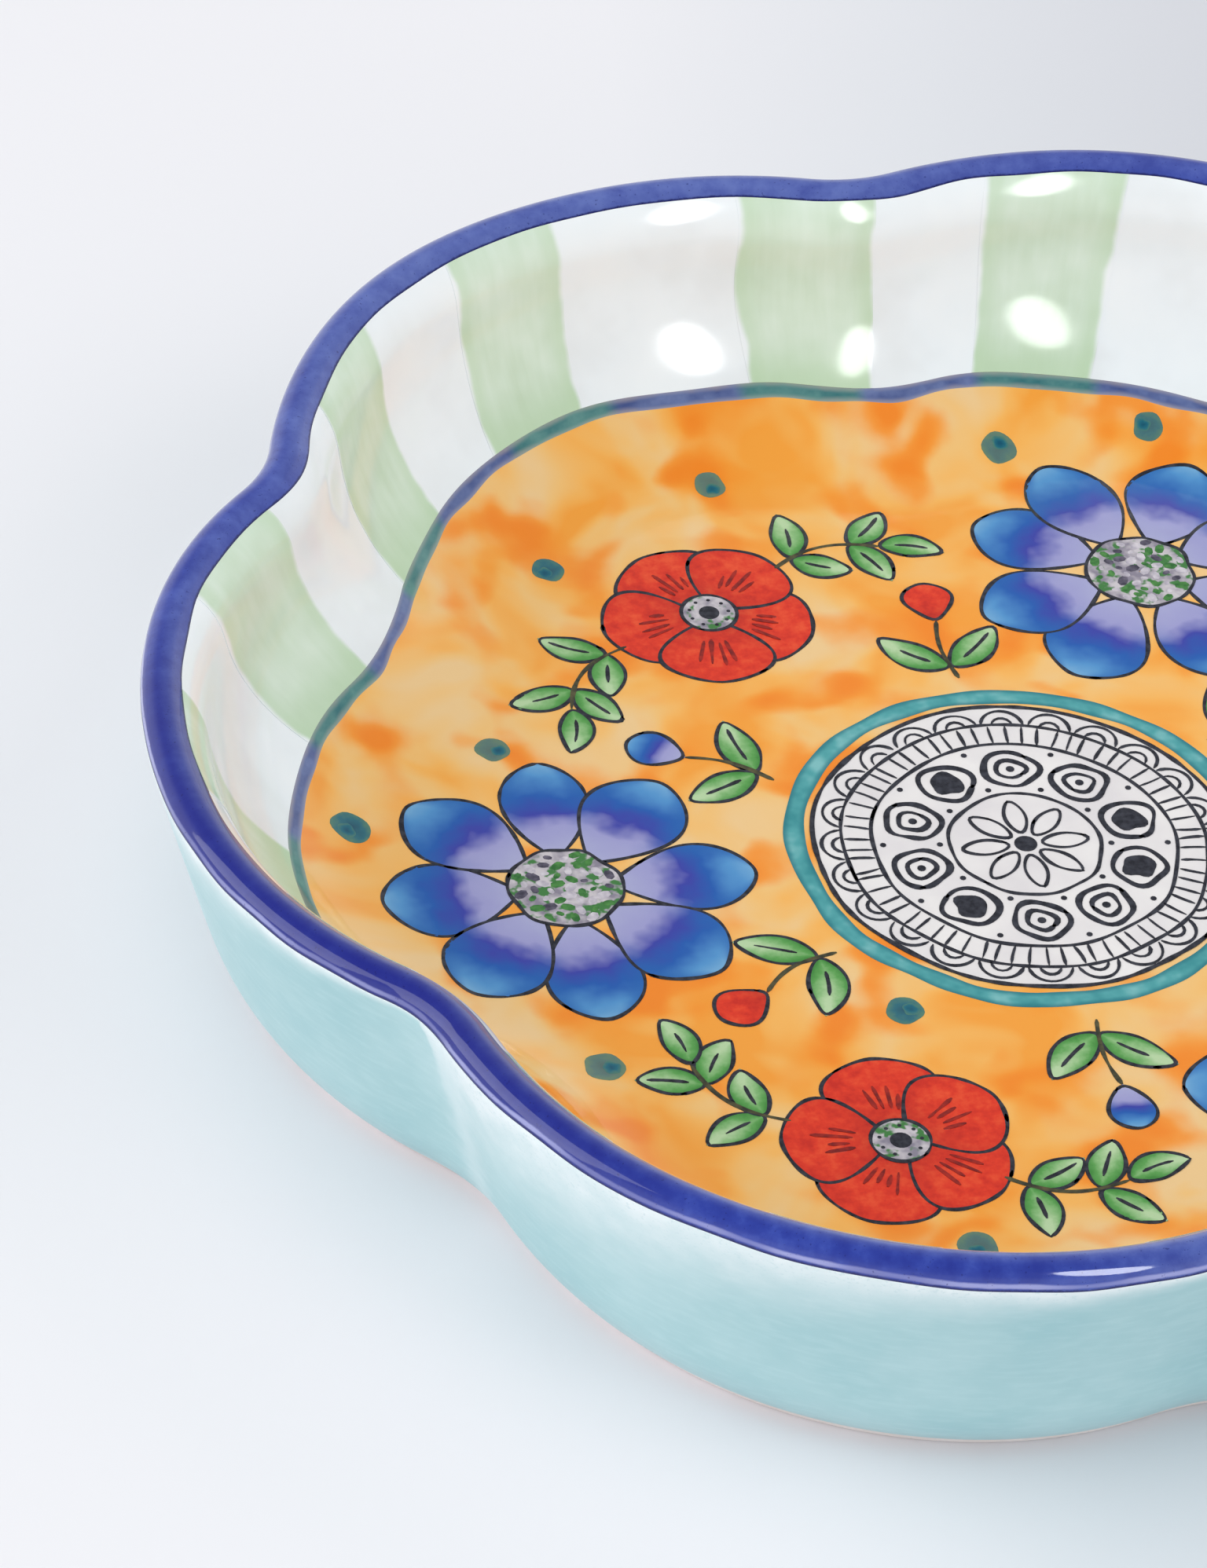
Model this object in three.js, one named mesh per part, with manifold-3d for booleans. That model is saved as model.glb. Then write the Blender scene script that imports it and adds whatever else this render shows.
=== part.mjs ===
// A six-lobed serving dish of glazed stoneware with a hand-painted inside.
// Millimetres, +Z up. The origin is on the table, under the middle of the dish,
// and +X points through the tip of one lobe.

import * as THREE from 'three';
import { mergeVertices } from 'three/addons/utils/BufferGeometryUtils.js';
import Module from 'manifold-3d';

const wasm = await Module();
wasm.setup();

// Outline, seen from above, at the outer face of the lip
const LOBE_COUNT = 6;
const LOBE_RADIUS = 59.5;
const LOBE_CENTRE_DISTANCE = 40.5;
const NOTCH_RADIUS = 18.7;

// Section of the glazed dish. An offset is a distance inward from the outline.
const DISH_HEIGHT = 35;
const LIP_THICKNESS = 4.6;
const SHOULDER_RADIUS = 10;
const SHOULDER_START = THREE.MathUtils.degToRad(52);
const TURN_OFFSET = 8.3;
const TURN_HEIGHT = 5.2;
const BELLY_RADIUS = 20;
const FOOT_TOP_OFFSET = 12.5;
const WELL_CORNER_OFFSET = 12.7;
const WELL_FLOOR_HEIGHT = 8;
const COVE_RADIUS = 25.5;

// Foot ring
const FOOT_HEIGHT = 0.9;
const FOOT_WIDTH = 6.5;
const FOOT_STEP = 0.4;
const FOOT_CHAMFER = 0.35;

// Glaze coats and paint
const GLAZE_THICKNESS = 0.4;
const PAINT_THICKNESS = 0.15;
const PAINT_CLEARANCE = 0.02;
const BASE_GLAZE_CLEARANCE = 0.3;
const BAND_EDGE_OUTSIDE = 0.8;
const BAND_EDGE_INSIDE = 1.05;
const FLOOR_LINE_WIDTH = 1.8;
const FLOOR_LINE_COVE_SHARE = 0.5;
const STRIPE_COUNT = 17;
const STRIPE_PITCH_SHARE = 0.47;
const FIRST_STRIPE_ANGLE = THREE.MathUtils.degToRad(74.35);

// Painted shapes on the floor: a medallion in a ring, and a flower in each lobe
const MEDALLION_RADIUS = 24;
const RING_GAP = 0.75;
const RING_WIDTH = 2.3;
const DAISY = {
  petals: 8,
  petalLength: 16,
  petalWidth: 11.6,
  petalBase: 5.2,
  heartRadius: 6.4,
  gapToRing: 4.4,
};
const POPPY = {
  petals: 5,
  petalLength: 11.6,
  petalWidth: 13.4,
  petalBase: 1.2,
  heartRadius: 3.3,
  gapToRing: 12,
};
const PETAL_NEAR_SHARE = 0.12;
const PETAL_FAR_SHARE = 1;
const PETAL_SWELL_SHARE = 2 / 3;

// Facets
const LOBE_STEPS = 10;
const NOTCH_STEPS = 2;
const BELLY_STEPS = 3;
const LIP_STEPS = 4;
const COVE_WALL_STEPS = 3;
const COVE_FLOOR_STEPS = 2;
const PETAL_STEPS = 5;
const ROUND_STEPS = 18;

const CUT_OVERRUN = 5;

// Outline columns. Each column of facets lies on one arc's radius, so a parallel
// outline at any offset is the same arcs with a larger or a smaller radius.
function outlineColumns() {
  const halfPitch = Math.PI / LOBE_COUNT;
  const reach = LOBE_RADIUS + NOTCH_RADIUS;
  const sideways = LOBE_CENTRE_DISTANCE * Math.sin(halfPitch);
  const notchDistance =
    LOBE_CENTRE_DISTANCE * Math.cos(halfPitch) + Math.sqrt(reach ** 2 - sideways ** 2);
  const lobeCentre = new THREE.Vector2(LOBE_CENTRE_DISTANCE, 0);
  const notchCentre = new THREE.Vector2(notchDistance, 0).rotateAround(new THREE.Vector2(), halfPitch);
  const meeting = notchCentre.clone().sub(lobeCentre).angle();
  const columns = [];
  for (let lobe = 0; lobe < LOBE_COUNT; lobe++) {
    const turn = 2 * halfPitch * lobe;
    const place = (centre) => centre.clone().rotateAround(new THREE.Vector2(), turn);
    for (let step = 0; step < LOBE_STEPS; step++) {
      const angle = turn + meeting * (-1 + (2 * step) / LOBE_STEPS);
      columns.push({ centre: place(lobeCentre), radius: LOBE_RADIUS, inward: -1, angle });
    }
    const notchSweep = 2 * (halfPitch - meeting);
    for (let step = 0; step < NOTCH_STEPS; step++) {
      const angle = turn + Math.PI + meeting + (notchSweep * step) / NOTCH_STEPS;
      columns.push({ centre: place(notchCentre), radius: NOTCH_RADIUS, inward: 1, angle });
    }
  }
  return columns;
}

const COLUMNS = outlineColumns();

function outlinePoint(column, offset) {
  const reach = column.radius + column.inward * offset;
  return new THREE.Vector2(
    column.centre.x + reach * Math.cos(column.angle),
    column.centre.y + reach * Math.sin(column.angle),
  );
}

// Section helpers. A station is a point of the glazed surface with its normal.
function spokePoint(centre, radius, angle) {
  return new THREE.Vector2(radius, 0).rotateAround(new THREE.Vector2(), angle).add(centre);
}

function arcStations(centre, radius, from, to, steps) {
  const bulges = to < from;
  return Array.from({ length: steps + 1 }, (_, step) => {
    const angle = from + ((to - from) * step) / steps;
    const point = spokePoint(centre, radius, angle);
    const outward = point.clone().sub(centre).normalize();
    return { point, normal: bulges ? outward : outward.negate() };
  });
}

// The arc that rounds a corner, limited by the shorter of its two sides.
function cornerArc(before, corner, after, radius) {
  const back = before.clone().sub(corner);
  const ahead = after.clone().sub(corner);
  const between = Math.acos(back.clone().normalize().dot(ahead.clone().normalize()));
  const tangent = Math.min(radius / Math.tan(between / 2), back.length(), ahead.length());
  const fittedRadius = tangent * Math.tan(between / 2);
  const bisector = back.clone().normalize().add(ahead.clone().normalize()).normalize();
  const centre = corner.clone().addScaledVector(bisector, fittedRadius / Math.sin(between / 2));
  const first = corner.clone().addScaledVector(back.clone().normalize(), tangent);
  const last = corner.clone().addScaledVector(ahead.clone().normalize(), tangent);
  const from = first.clone().sub(centre).angle();
  const turn = last.clone().sub(centre).angle() - from;
  const to = from + turn - 2 * Math.PI * Math.round(turn / (2 * Math.PI));
  return { centre, radius: fittedRadius, from, to };
}

// The angle at which a line from a point outside touches a round.
function touchAngle(centre, radius, outside, side) {
  const line = outside.clone().sub(centre);
  return line.angle() + side * Math.acos(radius / line.length());
}

// The glazed surface, from the foot up the outside, over the lip and down to the floor
const lipRadius = LIP_THICKNESS / 2;
const lipCentre = new THREE.Vector2(lipRadius, DISH_HEIGHT - lipRadius);
const turn = new THREE.Vector2(TURN_OFFSET, TURN_HEIGHT);
const footTop = new THREE.Vector2(FOOT_TOP_OFFSET, FOOT_HEIGHT);
const wellCorner = new THREE.Vector2(WELL_CORNER_OFFSET, WELL_FLOOR_HEIGHT);
const wellMiddle = new THREE.Vector2(LOBE_RADIUS, WELL_FLOOR_HEIGHT);

const lipOutside = touchAngle(lipCentre, lipRadius, turn, -1);
const lipStart = spokePoint(lipCentre, lipRadius, lipOutside);
const bandStart = lipOutside - BAND_EDGE_OUTSIDE / lipRadius;
const lip = arcStations(lipCentre, lipRadius, bandStart, SHOULDER_START, LIP_STEPS);

// The shoulder eases the lip's round into the straight of the inner wall
const shoulderCentre = spokePoint(lipCentre, lipRadius - SHOULDER_RADIUS, SHOULDER_START);
const wallNormal = touchAngle(shoulderCentre, SHOULDER_RADIUS, wellCorner, 1) - 2 * Math.PI;
const bandEnd = SHOULDER_START - BAND_EDGE_INSIDE / SHOULDER_RADIUS;
const bandTail = arcStations(shoulderCentre, SHOULDER_RADIUS, SHOULDER_START, bandEnd, 1);
const shoulder = arcStations(shoulderCentre, SHOULDER_RADIUS, bandEnd, wallNormal, 1);

const bellyArc = cornerArc(footTop, turn, lipStart, BELLY_RADIUS);
const belly = arcStations(bellyArc.centre, bellyArc.radius, bellyArc.from, bellyArc.to, BELLY_STEPS);
const coveArc = cornerArc(shoulder[shoulder.length - 1].point, wellCorner, wellMiddle, COVE_RADIUS);

function coveStations(from, to, steps) {
  return arcStations(coveArc.centre, coveArc.radius, from, to, steps);
}

const coveSweep = coveArc.to - coveArc.from;
const lineStart = coveArc.from + coveSweep * FLOOR_LINE_COVE_SHARE;
const lineEnd = lineStart + FLOOR_LINE_WIDTH / coveArc.radius;

const outsideStations = [...belly, lip[0]];
const bandStations = [...lip, ...bandTail.slice(1)];
const wallStations = [...shoulder, ...coveStations(coveArc.from, lineStart, COVE_WALL_STEPS)];
const lineStations = coveStations(lineStart, lineEnd, 1);
const floorStations = coveStations(lineEnd, coveArc.to, COVE_FLOOR_STEPS);

// Sections swept round the lobed outline
function raised(stations, height) {
  return stations.map(({ point, normal }) => point.clone().addScaledVector(normal, height));
}

function sweepRound(section, reachesAxis = false) {
  const positions = [];
  const faces = [];
  const rings = reachesAxis ? section.slice(1, -1) : section;
  for (const { x: offset, y: height } of rings) {
    for (const column of COLUMNS) {
      const { x, y } = outlinePoint(column, offset);
      positions.push(x, y, height);
    }
  }
  const count = COLUMNS.length;
  const joins = reachesAxis ? rings.length - 1 : rings.length;
  for (let ring = 0; ring < joins; ring++) {
    const here = ring * count;
    const next = ((ring + 1) % rings.length) * count;
    for (let column = 0; column < count; column++) {
      const beside = (column + 1) % count;
      faces.push(here + column, here + beside, next + beside);
      faces.push(here + column, next + beside, next + column);
    }
  }
  if (reachesAxis) {
    const lastRing = (rings.length - 1) * count;
    const bottom = rings.length * count;
    const top = bottom + 1;
    positions.push(0, 0, section[0].y, 0, 0, section[section.length - 1].y);
    for (let column = 0; column < count; column++) {
      const beside = (column + 1) % count;
      faces.push(bottom, beside, column);
      faces.push(top, lastRing + column, lastRing + beside);
    }
  }
  const geometry = new THREE.BufferGeometry();
  geometry.setAttribute('position', new THREE.Float32BufferAttribute(positions, 3));
  geometry.setIndex(faces);
  return geometry;
}

// A coat of even thickness on the stations. It stays closed where it ends in a ring.
function coat(stations, inner, outer) {
  return sweepRound([...raised(stations, outer), ...raised(stations, inner).reverse()]);
}

function glazeCoat(stations) {
  return coat(stations, -GLAZE_THICKNESS, 0);
}

// Solids for cutting and joining
function toSolid(geometry) {
  const bare = geometry.clone();
  bare.deleteAttribute('normal');
  bare.deleteAttribute('uv');
  const merged = mergeVertices(bare);
  return new wasm.Manifold(new wasm.Mesh({
    numProp: 3,
    vertProperties: new Float32Array(merged.attributes.position.array),
    triVerts: new Uint32Array(merged.index.array),
  }));
}

function toGeometry(solid) {
  const mesh = solid.getMesh();
  const geometry = new THREE.BufferGeometry();
  geometry.setAttribute('position', new THREE.BufferAttribute(mesh.vertProperties, 3));
  geometry.setIndex(new THREE.BufferAttribute(mesh.triVerts, 1));
  return geometry;
}

const dish = new THREE.Group();

function addPiece(name, geometry, look) {
  geometry.computeVertexNormals();
  const mesh = new THREE.Mesh(geometry, new THREE.MeshStandardMaterial({ metalness: 0, ...look }));
  mesh.name = name;
  dish.add(mesh);
}

const LOOKS = {
  clay: { color: 0xe6d8cf, roughness: 0.85 },
  aqua: { color: 0xaad4dc, roughness: 0.22 },
  cobalt: { color: 0x2f3596, roughness: 0.12 },
  cream: { color: 0xf0eeea, roughness: 0.12 },
  mint: { color: 0xbedcb9, roughness: 0.12 },
  line: { color: 0x50648c, roughness: 0.15 },
  amber: { color: 0xf5b45a, roughness: 0.12 },
  white: { color: 0xe9e6e6, roughness: 0.12 },
  teal: { color: 0x30949a, roughness: 0.12 },
  blue: { color: 0x3e76b8, roughness: 0.12 },
  red: { color: 0xe43e22, roughness: 0.12 },
};

// A solid that closes at the dish's axis, between a lower and an upper section.
function plate(lower, upper) {
  const middle = ({ y }) => new THREE.Vector2(LOBE_RADIUS, y);
  const section = [middle(lower[0]), ...lower, ...upper, middle(upper[upper.length - 1])];
  return sweepRound(section, true);
}

// Clay body, in one piece, under its glaze
const clayStations = [
  ...outsideStations,
  ...bandStations.slice(1),
  ...wallStations.slice(1),
  ...lineStations.slice(1),
  ...floorStations.slice(1),
];
const footOffset = FOOT_TOP_OFFSET + FOOT_STEP;
const footTopEdge = new THREE.Vector2(footOffset, FOOT_HEIGHT);
addPiece('dish_body', plate([footTopEdge], raised(clayStations, -GLAZE_THICKNESS)), LOOKS.clay);

// Foot ring, luted under the body and left bare
const footInnerOffset = footOffset + FOOT_WIDTH;
addPiece('foot_ring', sweepRound([
  new THREE.Vector2(footInnerOffset, FOOT_HEIGHT),
  new THREE.Vector2(footInnerOffset, FOOT_CHAMFER),
  new THREE.Vector2(footInnerOffset - FOOT_CHAMFER, 0),
  new THREE.Vector2(footOffset + FOOT_CHAMFER, 0),
  new THREE.Vector2(footOffset, FOOT_CHAMFER),
  footTopEdge,
]), LOOKS.clay);

// Glaze coats
addPiece('outside_glaze', glazeCoat(outsideStations), LOOKS.aqua);
addPiece('rim_glaze', glazeCoat(bandStations), LOOKS.cobalt);
addPiece('wall_glaze', glazeCoat(wallStations), LOOKS.cream);
addPiece('floor_line_glaze', glazeCoat(lineStations), LOOKS.line);
addPiece(
  'floor_glaze',
  plate(raised(floorStations, -GLAZE_THICKNESS).reverse(), raised(floorStations, 0)),
  LOOKS.amber,
);

const baseGlazeOffset = footInnerOffset + BASE_GLAZE_CLEARANCE;
addPiece('base_glaze', plate(
  [new THREE.Vector2(baseGlazeOffset, FOOT_HEIGHT - GLAZE_THICKNESS)],
  [new THREE.Vector2(baseGlazeOffset, FOOT_HEIGHT)],
), LOOKS.aqua);

// Painted stripes down the inner wall, cut from one coat of paint
const wallPaint = toSolid(coat(wallStations, PAINT_CLEARANCE, PAINT_CLEARANCE + PAINT_THICKNESS));
const stripePitch = (2 * Math.PI) / STRIPE_COUNT;
const stripeReach = LOBE_CENTRE_DISTANCE + LOBE_RADIUS + CUT_OVERRUN;

function stripeWedge(angle) {
  const halfWidth = (stripePitch * STRIPE_PITCH_SHARE) / 2;
  const halfChord = stripeReach * Math.tan(halfWidth);
  const outline = new THREE.Shape([
    new THREE.Vector2(0, 0),
    new THREE.Vector2(stripeReach, -halfChord),
    new THREE.Vector2(stripeReach, halfChord),
  ]);
  const wedge = new THREE.ExtrudeGeometry(outline, {
    depth: DISH_HEIGHT + CUT_OVERRUN,
    bevelEnabled: false,
  });
  return wedge.rotateZ(angle);
}

for (let stripe = 0; stripe < STRIPE_COUNT; stripe++) {
  const wedge = toSolid(stripeWedge(FIRST_STRIPE_ANGLE + stripe * stripePitch));
  const name = `wall_stripe_${String(stripe + 1).padStart(2, '0')}`;
  addPiece(name, toGeometry(wallPaint.intersect(wedge)), LOOKS.mint);
}

// Painted shapes on the floor, cut from one coat of paint that follows floor and cove
const floorPaint = toSolid(plate(
  raised(floorStations, PAINT_CLEARANCE).reverse(),
  raised(floorStations, PAINT_CLEARANCE + PAINT_THICKNESS),
));

function prism(shape, curveSegments) {
  return new THREE.ExtrudeGeometry(shape, {
    depth: DISH_HEIGHT + CUT_OVERRUN,
    bevelEnabled: false,
    curveSegments,
  });
}

function disc(radius) {
  return new THREE.Shape().absarc(0, 0, radius, 0, 2 * Math.PI);
}

function petalShape({ petalLength, petalWidth }) {
  const side = petalWidth * PETAL_SWELL_SHARE;
  const near = petalLength * PETAL_NEAR_SHARE;
  const far = petalLength * PETAL_FAR_SHARE;
  return new THREE.Shape()
    .moveTo(0, 0)
    .bezierCurveTo(near, -side, far, -side, petalLength, 0)
    .bezierCurveTo(far, side, near, side, 0, 0);
}

// A flower's petals and heart as one solid, moved out to its lobe
function flowerSolid(flower, lobe) {
  const reach = flower.petalBase + flower.petalLength;
  const distance = ringOuterRadius + flower.gapToRing + reach;
  let solid = toSolid(prism(disc(flower.heartRadius), ROUND_STEPS));
  for (let petal = 0; petal < flower.petals; petal++) {
    const blade = prism(petalShape(flower), PETAL_STEPS).translate(flower.petalBase, 0, 0);
    solid = solid.add(toSolid(blade.rotateZ((2 * Math.PI * petal) / flower.petals)));
  }
  const turned = THREE.MathUtils.radToDeg((2 * Math.PI * lobe) / LOBE_COUNT);
  return solid.translate([distance, 0, 0]).rotate([0, 0, turned]);
}

const ringInnerRadius = MEDALLION_RADIUS + RING_GAP;
const ringOuterRadius = ringInnerRadius + RING_WIDTH;
const ringShape = disc(ringOuterRadius);
ringShape.holes.push(disc(ringInnerRadius));

function paintFloor(name, solid, look) {
  addPiece(name, toGeometry(floorPaint.intersect(solid)), look);
}

paintFloor('floor_medallion', toSolid(prism(disc(MEDALLION_RADIUS), ROUND_STEPS)), LOOKS.white);
paintFloor('floor_ring', toSolid(prism(ringShape, ROUND_STEPS)), LOOKS.teal);
for (let lobe = 0; lobe < LOBE_COUNT; lobe++) {
  const isDaisy = lobe % 2 === 1;
  const name = `floor_${isDaisy ? 'daisy' : 'poppy'}_${lobe + 1}`;
  paintFloor(name, flowerSolid(isDaisy ? DAISY : POPPY, lobe), isDaisy ? LOOKS.blue : LOOKS.red);
}

export default dish;
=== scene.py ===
"""A six-lobed serving dish of glazed stoneware with a hand-painted inside.

Shapes are worked out in millimetres, in the frame's own axes: +Z up, the table at 0, +X through
the tip of one lobe. Meshes are written in metres. All painting lies on the glazed surface.
"""
import math
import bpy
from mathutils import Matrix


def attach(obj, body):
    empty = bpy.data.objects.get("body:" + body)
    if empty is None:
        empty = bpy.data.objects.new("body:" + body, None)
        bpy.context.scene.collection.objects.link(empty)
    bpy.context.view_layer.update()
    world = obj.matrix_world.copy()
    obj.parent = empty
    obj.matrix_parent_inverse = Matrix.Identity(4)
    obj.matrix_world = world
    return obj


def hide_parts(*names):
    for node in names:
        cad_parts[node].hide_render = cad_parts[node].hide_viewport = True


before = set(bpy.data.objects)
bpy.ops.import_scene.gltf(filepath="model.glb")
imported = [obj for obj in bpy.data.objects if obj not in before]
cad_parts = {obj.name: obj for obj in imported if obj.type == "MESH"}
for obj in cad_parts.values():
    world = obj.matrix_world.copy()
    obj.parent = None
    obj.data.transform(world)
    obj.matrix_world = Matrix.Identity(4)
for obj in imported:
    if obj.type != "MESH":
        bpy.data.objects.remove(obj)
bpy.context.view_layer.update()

from types import SimpleNamespace as Named

import bpy
import numpy as np
from mathutils import Matrix, Vector

MILLIMETRE = 0.001
TURN = 2 * math.pi

# Outline of the dish, seen from above, at the outer face of the lip
LOBE_COUNT = 6
LOBE_RADIUS = 59.5
LOBE_CENTRE_DISTANCE = 40.5
NOTCH_RADIUS = 18.7
LOBE_TURN = TURN / LOBE_COUNT

# Section. An offset is a distance inward from the outline.
DISH_HEIGHT = 35.0
LIP_RADIUS = 2.3
SHOULDER_RADIUS = 10.0
SHOULDER_START = math.radians(52)
TURN_CORNER = (8.3, 5.2)
BELLY_RADIUS = 20.0
FOOT_TOP = (12.5, 0.9)
WELL_CORNER = (12.7, 8.0)
COVE_RADIUS = 25.5
FOOT_STEP = 0.4
FOOT_WIDTH = 6.5
FOOT_CHAMFER = 0.35
GLAZE_THICKNESS = 0.4
BAND_EDGE_OUTSIDE = 0.8
BAND_EDGE_INSIDE = 1.05
FLOOR_LINE_WIDTH = 1.8
FLOOR_LINE_COVE_SHARE = 0.5

STRIPE_COUNT = 17
STRIPE_PITCH_SHARE = 0.47
FIRST_STRIPE_ANGLE = math.radians(74.35)

# Painted shapes on the floor
MEDALLION_RADIUS = 24.0
RING_GAP = 0.75
RING_WIDTH = 2.3
DAISY = Named(
    petals=8, length=16.0, width=11.6, base=5.2, heart=6.4, gap=4.4,
    stray=0.03, bend=0.03, length_shares=(0.94, 1.04), width_shares=(0.93, 1.05))
POPPY = Named(
    petals=5, length=11.6, width=13.4, base=1.2, heart=3.3, gap=12.0,
    stray=0.04, length_shares=(0.95, 1.04), heart_pen=0.42)

COLUMNS = 720


# Hand-made unevenness: sums of a few waves, the same on each run

WAVE_COUNT = 7
WAVE_PEAK = 1.6


class Waves:
    """A smooth random curve of a length or share, between about -1 and 1."""

    LEAST_SIZE = 0.5

    def __init__(self, seed, low, high):
        random = np.random.default_rng(seed)
        self.rates = self.choose_rates(random, low, high)
        self.phases = random.uniform(0, TURN, len(self.rates))
        self.sizes = random.uniform(self.LEAST_SIZE, 1.0, len(self.rates))
        self.sizes /= math.sqrt((self.sizes ** 2).sum() / 2) * WAVE_PEAK

    def choose_rates(self, random, slowest, fastest):
        return np.exp(random.uniform(math.log(slowest), math.log(fastest), WAVE_COUNT))

    def __call__(self, places):
        places = np.asarray(places)[..., None]
        return (self.sizes * np.sin(self.rates * places + self.phases)).sum(-1)


class RoundWaves(Waves):
    """A smooth random curve of an angle, which closes on itself."""

    LEAST_SIZE = 0.4

    def choose_rates(self, random, lowest, highest):
        return np.arange(lowest, highest + 1)


# Outline

NOTCH_DISTANCE = LOBE_CENTRE_DISTANCE * math.cos(LOBE_TURN / 2) + math.sqrt(
    (LOBE_RADIUS + NOTCH_RADIUS) ** 2 - (LOBE_CENTRE_DISTANCE * math.sin(LOBE_TURN / 2)) ** 2)
NOTCH_X = NOTCH_DISTANCE * math.cos(LOBE_TURN / 2)
NOTCH_Y = NOTCH_DISTANCE * math.sin(LOBE_TURN / 2)
MEETING_ANGLE = math.atan2(NOTCH_Y, NOTCH_X - LOBE_CENTRE_DISTANCE)


def polar(reach, angle):
    return np.stack([reach * np.cos(angle), reach * np.sin(angle)], -1)


def reach_to_round(distance, radius, angle, side):
    """Distance from the axis to the far side (1) or near side (-1) of a round."""
    across = distance * np.sin(angle)
    return distance * np.cos(angle) + side * np.sqrt(np.maximum(radius ** 2 - across ** 2, 0))


def outline_reach(offset, angle):
    """Distance from the dish's axis to the outline that is offset inward, along an angle."""
    from_lobe = (angle + LOBE_TURN / 2) % LOBE_TURN - LOBE_TURN / 2
    from_notch = LOBE_TURN / 2 - np.abs(from_lobe)
    lobe_radius = LOBE_RADIUS - offset
    meeting = np.arctan2(
        lobe_radius * math.sin(MEETING_ANGLE),
        LOBE_CENTRE_DISTANCE + lobe_radius * math.cos(MEETING_ANGLE))
    on_lobe = reach_to_round(LOBE_CENTRE_DISTANCE, lobe_radius, from_lobe, 1)
    on_notch = reach_to_round(NOTCH_DISTANCE, NOTCH_RADIUS + offset, from_notch, -1)
    return np.where(np.abs(from_lobe) <= meeting, on_lobe, on_notch)


def offset_at(x, y):
    """How far inside the outline a point of the floor lies."""
    angle = np.arctan2(y, x)
    lobe = np.round(angle / LOBE_TURN) * LOBE_TURN
    along = x * np.cos(lobe) + y * np.sin(lobe)
    beside = np.abs(y * np.cos(lobe) - x * np.sin(lobe))
    from_lobe = np.hypot(along - LOBE_CENTRE_DISTANCE, beside)
    facing = np.abs(np.arctan2(beside, along - LOBE_CENTRE_DISTANCE))
    from_notch = np.hypot(along - NOTCH_X, beside - NOTCH_Y)
    return np.where(facing <= MEETING_ANGLE, LOBE_RADIUS - from_lobe, from_notch - NOTCH_RADIUS)


# Section of the glazed surface, from the foot up the outside, over the lip, down to the floor

def unit(v):
    return v / np.linalg.norm(v)


def bearing(v):
    return math.atan2(v[1], v[0])


def corner_arc(before, corner, after, radius):
    """The arc that rounds a corner, as its centre, radius, first angle and last angle."""
    back, ahead = before - corner, after - corner
    between = math.acos(unit(back) @ unit(ahead))
    tangent = radius / math.tan(between / 2)
    centre = corner + unit(unit(back) + unit(ahead)) * radius / math.sin(between / 2)
    first, last = (bearing(corner + unit(side) * tangent - centre) for side in (back, ahead))
    return centre, radius, first, first + (last - first + math.pi) % TURN - math.pi


def touch(centre, radius, outside, side):
    """The angle at which a line from a point outside touches a round."""
    line = outside - centre
    return bearing(line) + side * math.acos(radius / np.linalg.norm(line))


class Section:
    """Points and normals of the glazed surface by distance walked along it."""

    STEP = 0.05

    def __init__(self):
        lip_centre = np.array((LIP_RADIUS, DISH_HEIGHT - LIP_RADIUS))
        shoulder_centre = lip_centre + polar(LIP_RADIUS - SHOULDER_RADIUS, SHOULDER_START)
        turn_corner, well_corner = np.array(TURN_CORNER), np.array(WELL_CORNER)
        outside = touch(lip_centre, LIP_RADIUS, turn_corner, -1) % TURN
        inside = touch(shoulder_centre, SHOULDER_RADIUS, well_corner, 1) % TURN
        lip_start = lip_centre + polar(LIP_RADIUS, outside)
        shoulder_end = shoulder_centre + polar(SHOULDER_RADIUS, inside)
        far = np.array((LOBE_RADIUS, WELL_CORNER[1]))
        belly = corner_arc(np.array(FOOT_TOP), turn_corner, lip_start, BELLY_RADIUS)
        lip = (lip_centre, LIP_RADIUS, outside, SHOULDER_START)
        shoulder = (shoulder_centre, SHOULDER_RADIUS, SHOULDER_START, inside)
        cove = corner_arc(shoulder_end, well_corner, far, COVE_RADIUS)
        points, normals = [], []
        for centre, radius, first, last in (belly, lip, shoulder, cove):
            count = int(abs(last - first) * radius / self.STEP) + 2
            spokes = polar(1, np.linspace(first, last, count))
            points.append(centre + radius * spokes)
            normals.append(spokes if last < first else -spokes)
        counts = np.array([len(arc) for arc in points])
        points.append(far[None])
        normals.append(np.array((0, 1))[None])
        self.points = np.concatenate(points)
        self.normals = np.concatenate(normals)
        steps = np.linalg.norm(np.diff(self.points, axis=0), axis=1)
        self.walked = np.concatenate([[0], np.cumsum(steps)])
        _, self.lip_start, _, cove_start = self.walked[counts.cumsum() - counts]
        _, self.lip_end, _, self.cove_end = self.walked[counts.cumsum() - 1]
        self.band_outside = self.lip_start + BAND_EDGE_OUTSIDE
        self.band_inside = self.lip_end + BAND_EDGE_INSIDE
        self.line_start = cove_start + (self.cove_end - cove_start) * FLOOR_LINE_COVE_SHARE
        self.line_end = self.line_start + FLOOR_LINE_WIDTH

    def at(self, walked, lift=0.0):
        """Offset and height at a distance walked, lifted off the surface along its normal."""
        offset, height, out, up = (
            np.interp(walked, self.walked, values)
            for values in (*self.points.T, *self.normals.T))
        return offset + lift * out, height + lift * up

    def floor_height(self, offset):
        inner = self.walked >= self.lip_end
        return np.interp(offset, self.points[inner, 0], self.points[inner, 1])


SECTION = Section()

# The hand-made dish's departures from the true form, by degrees round the dish

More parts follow.
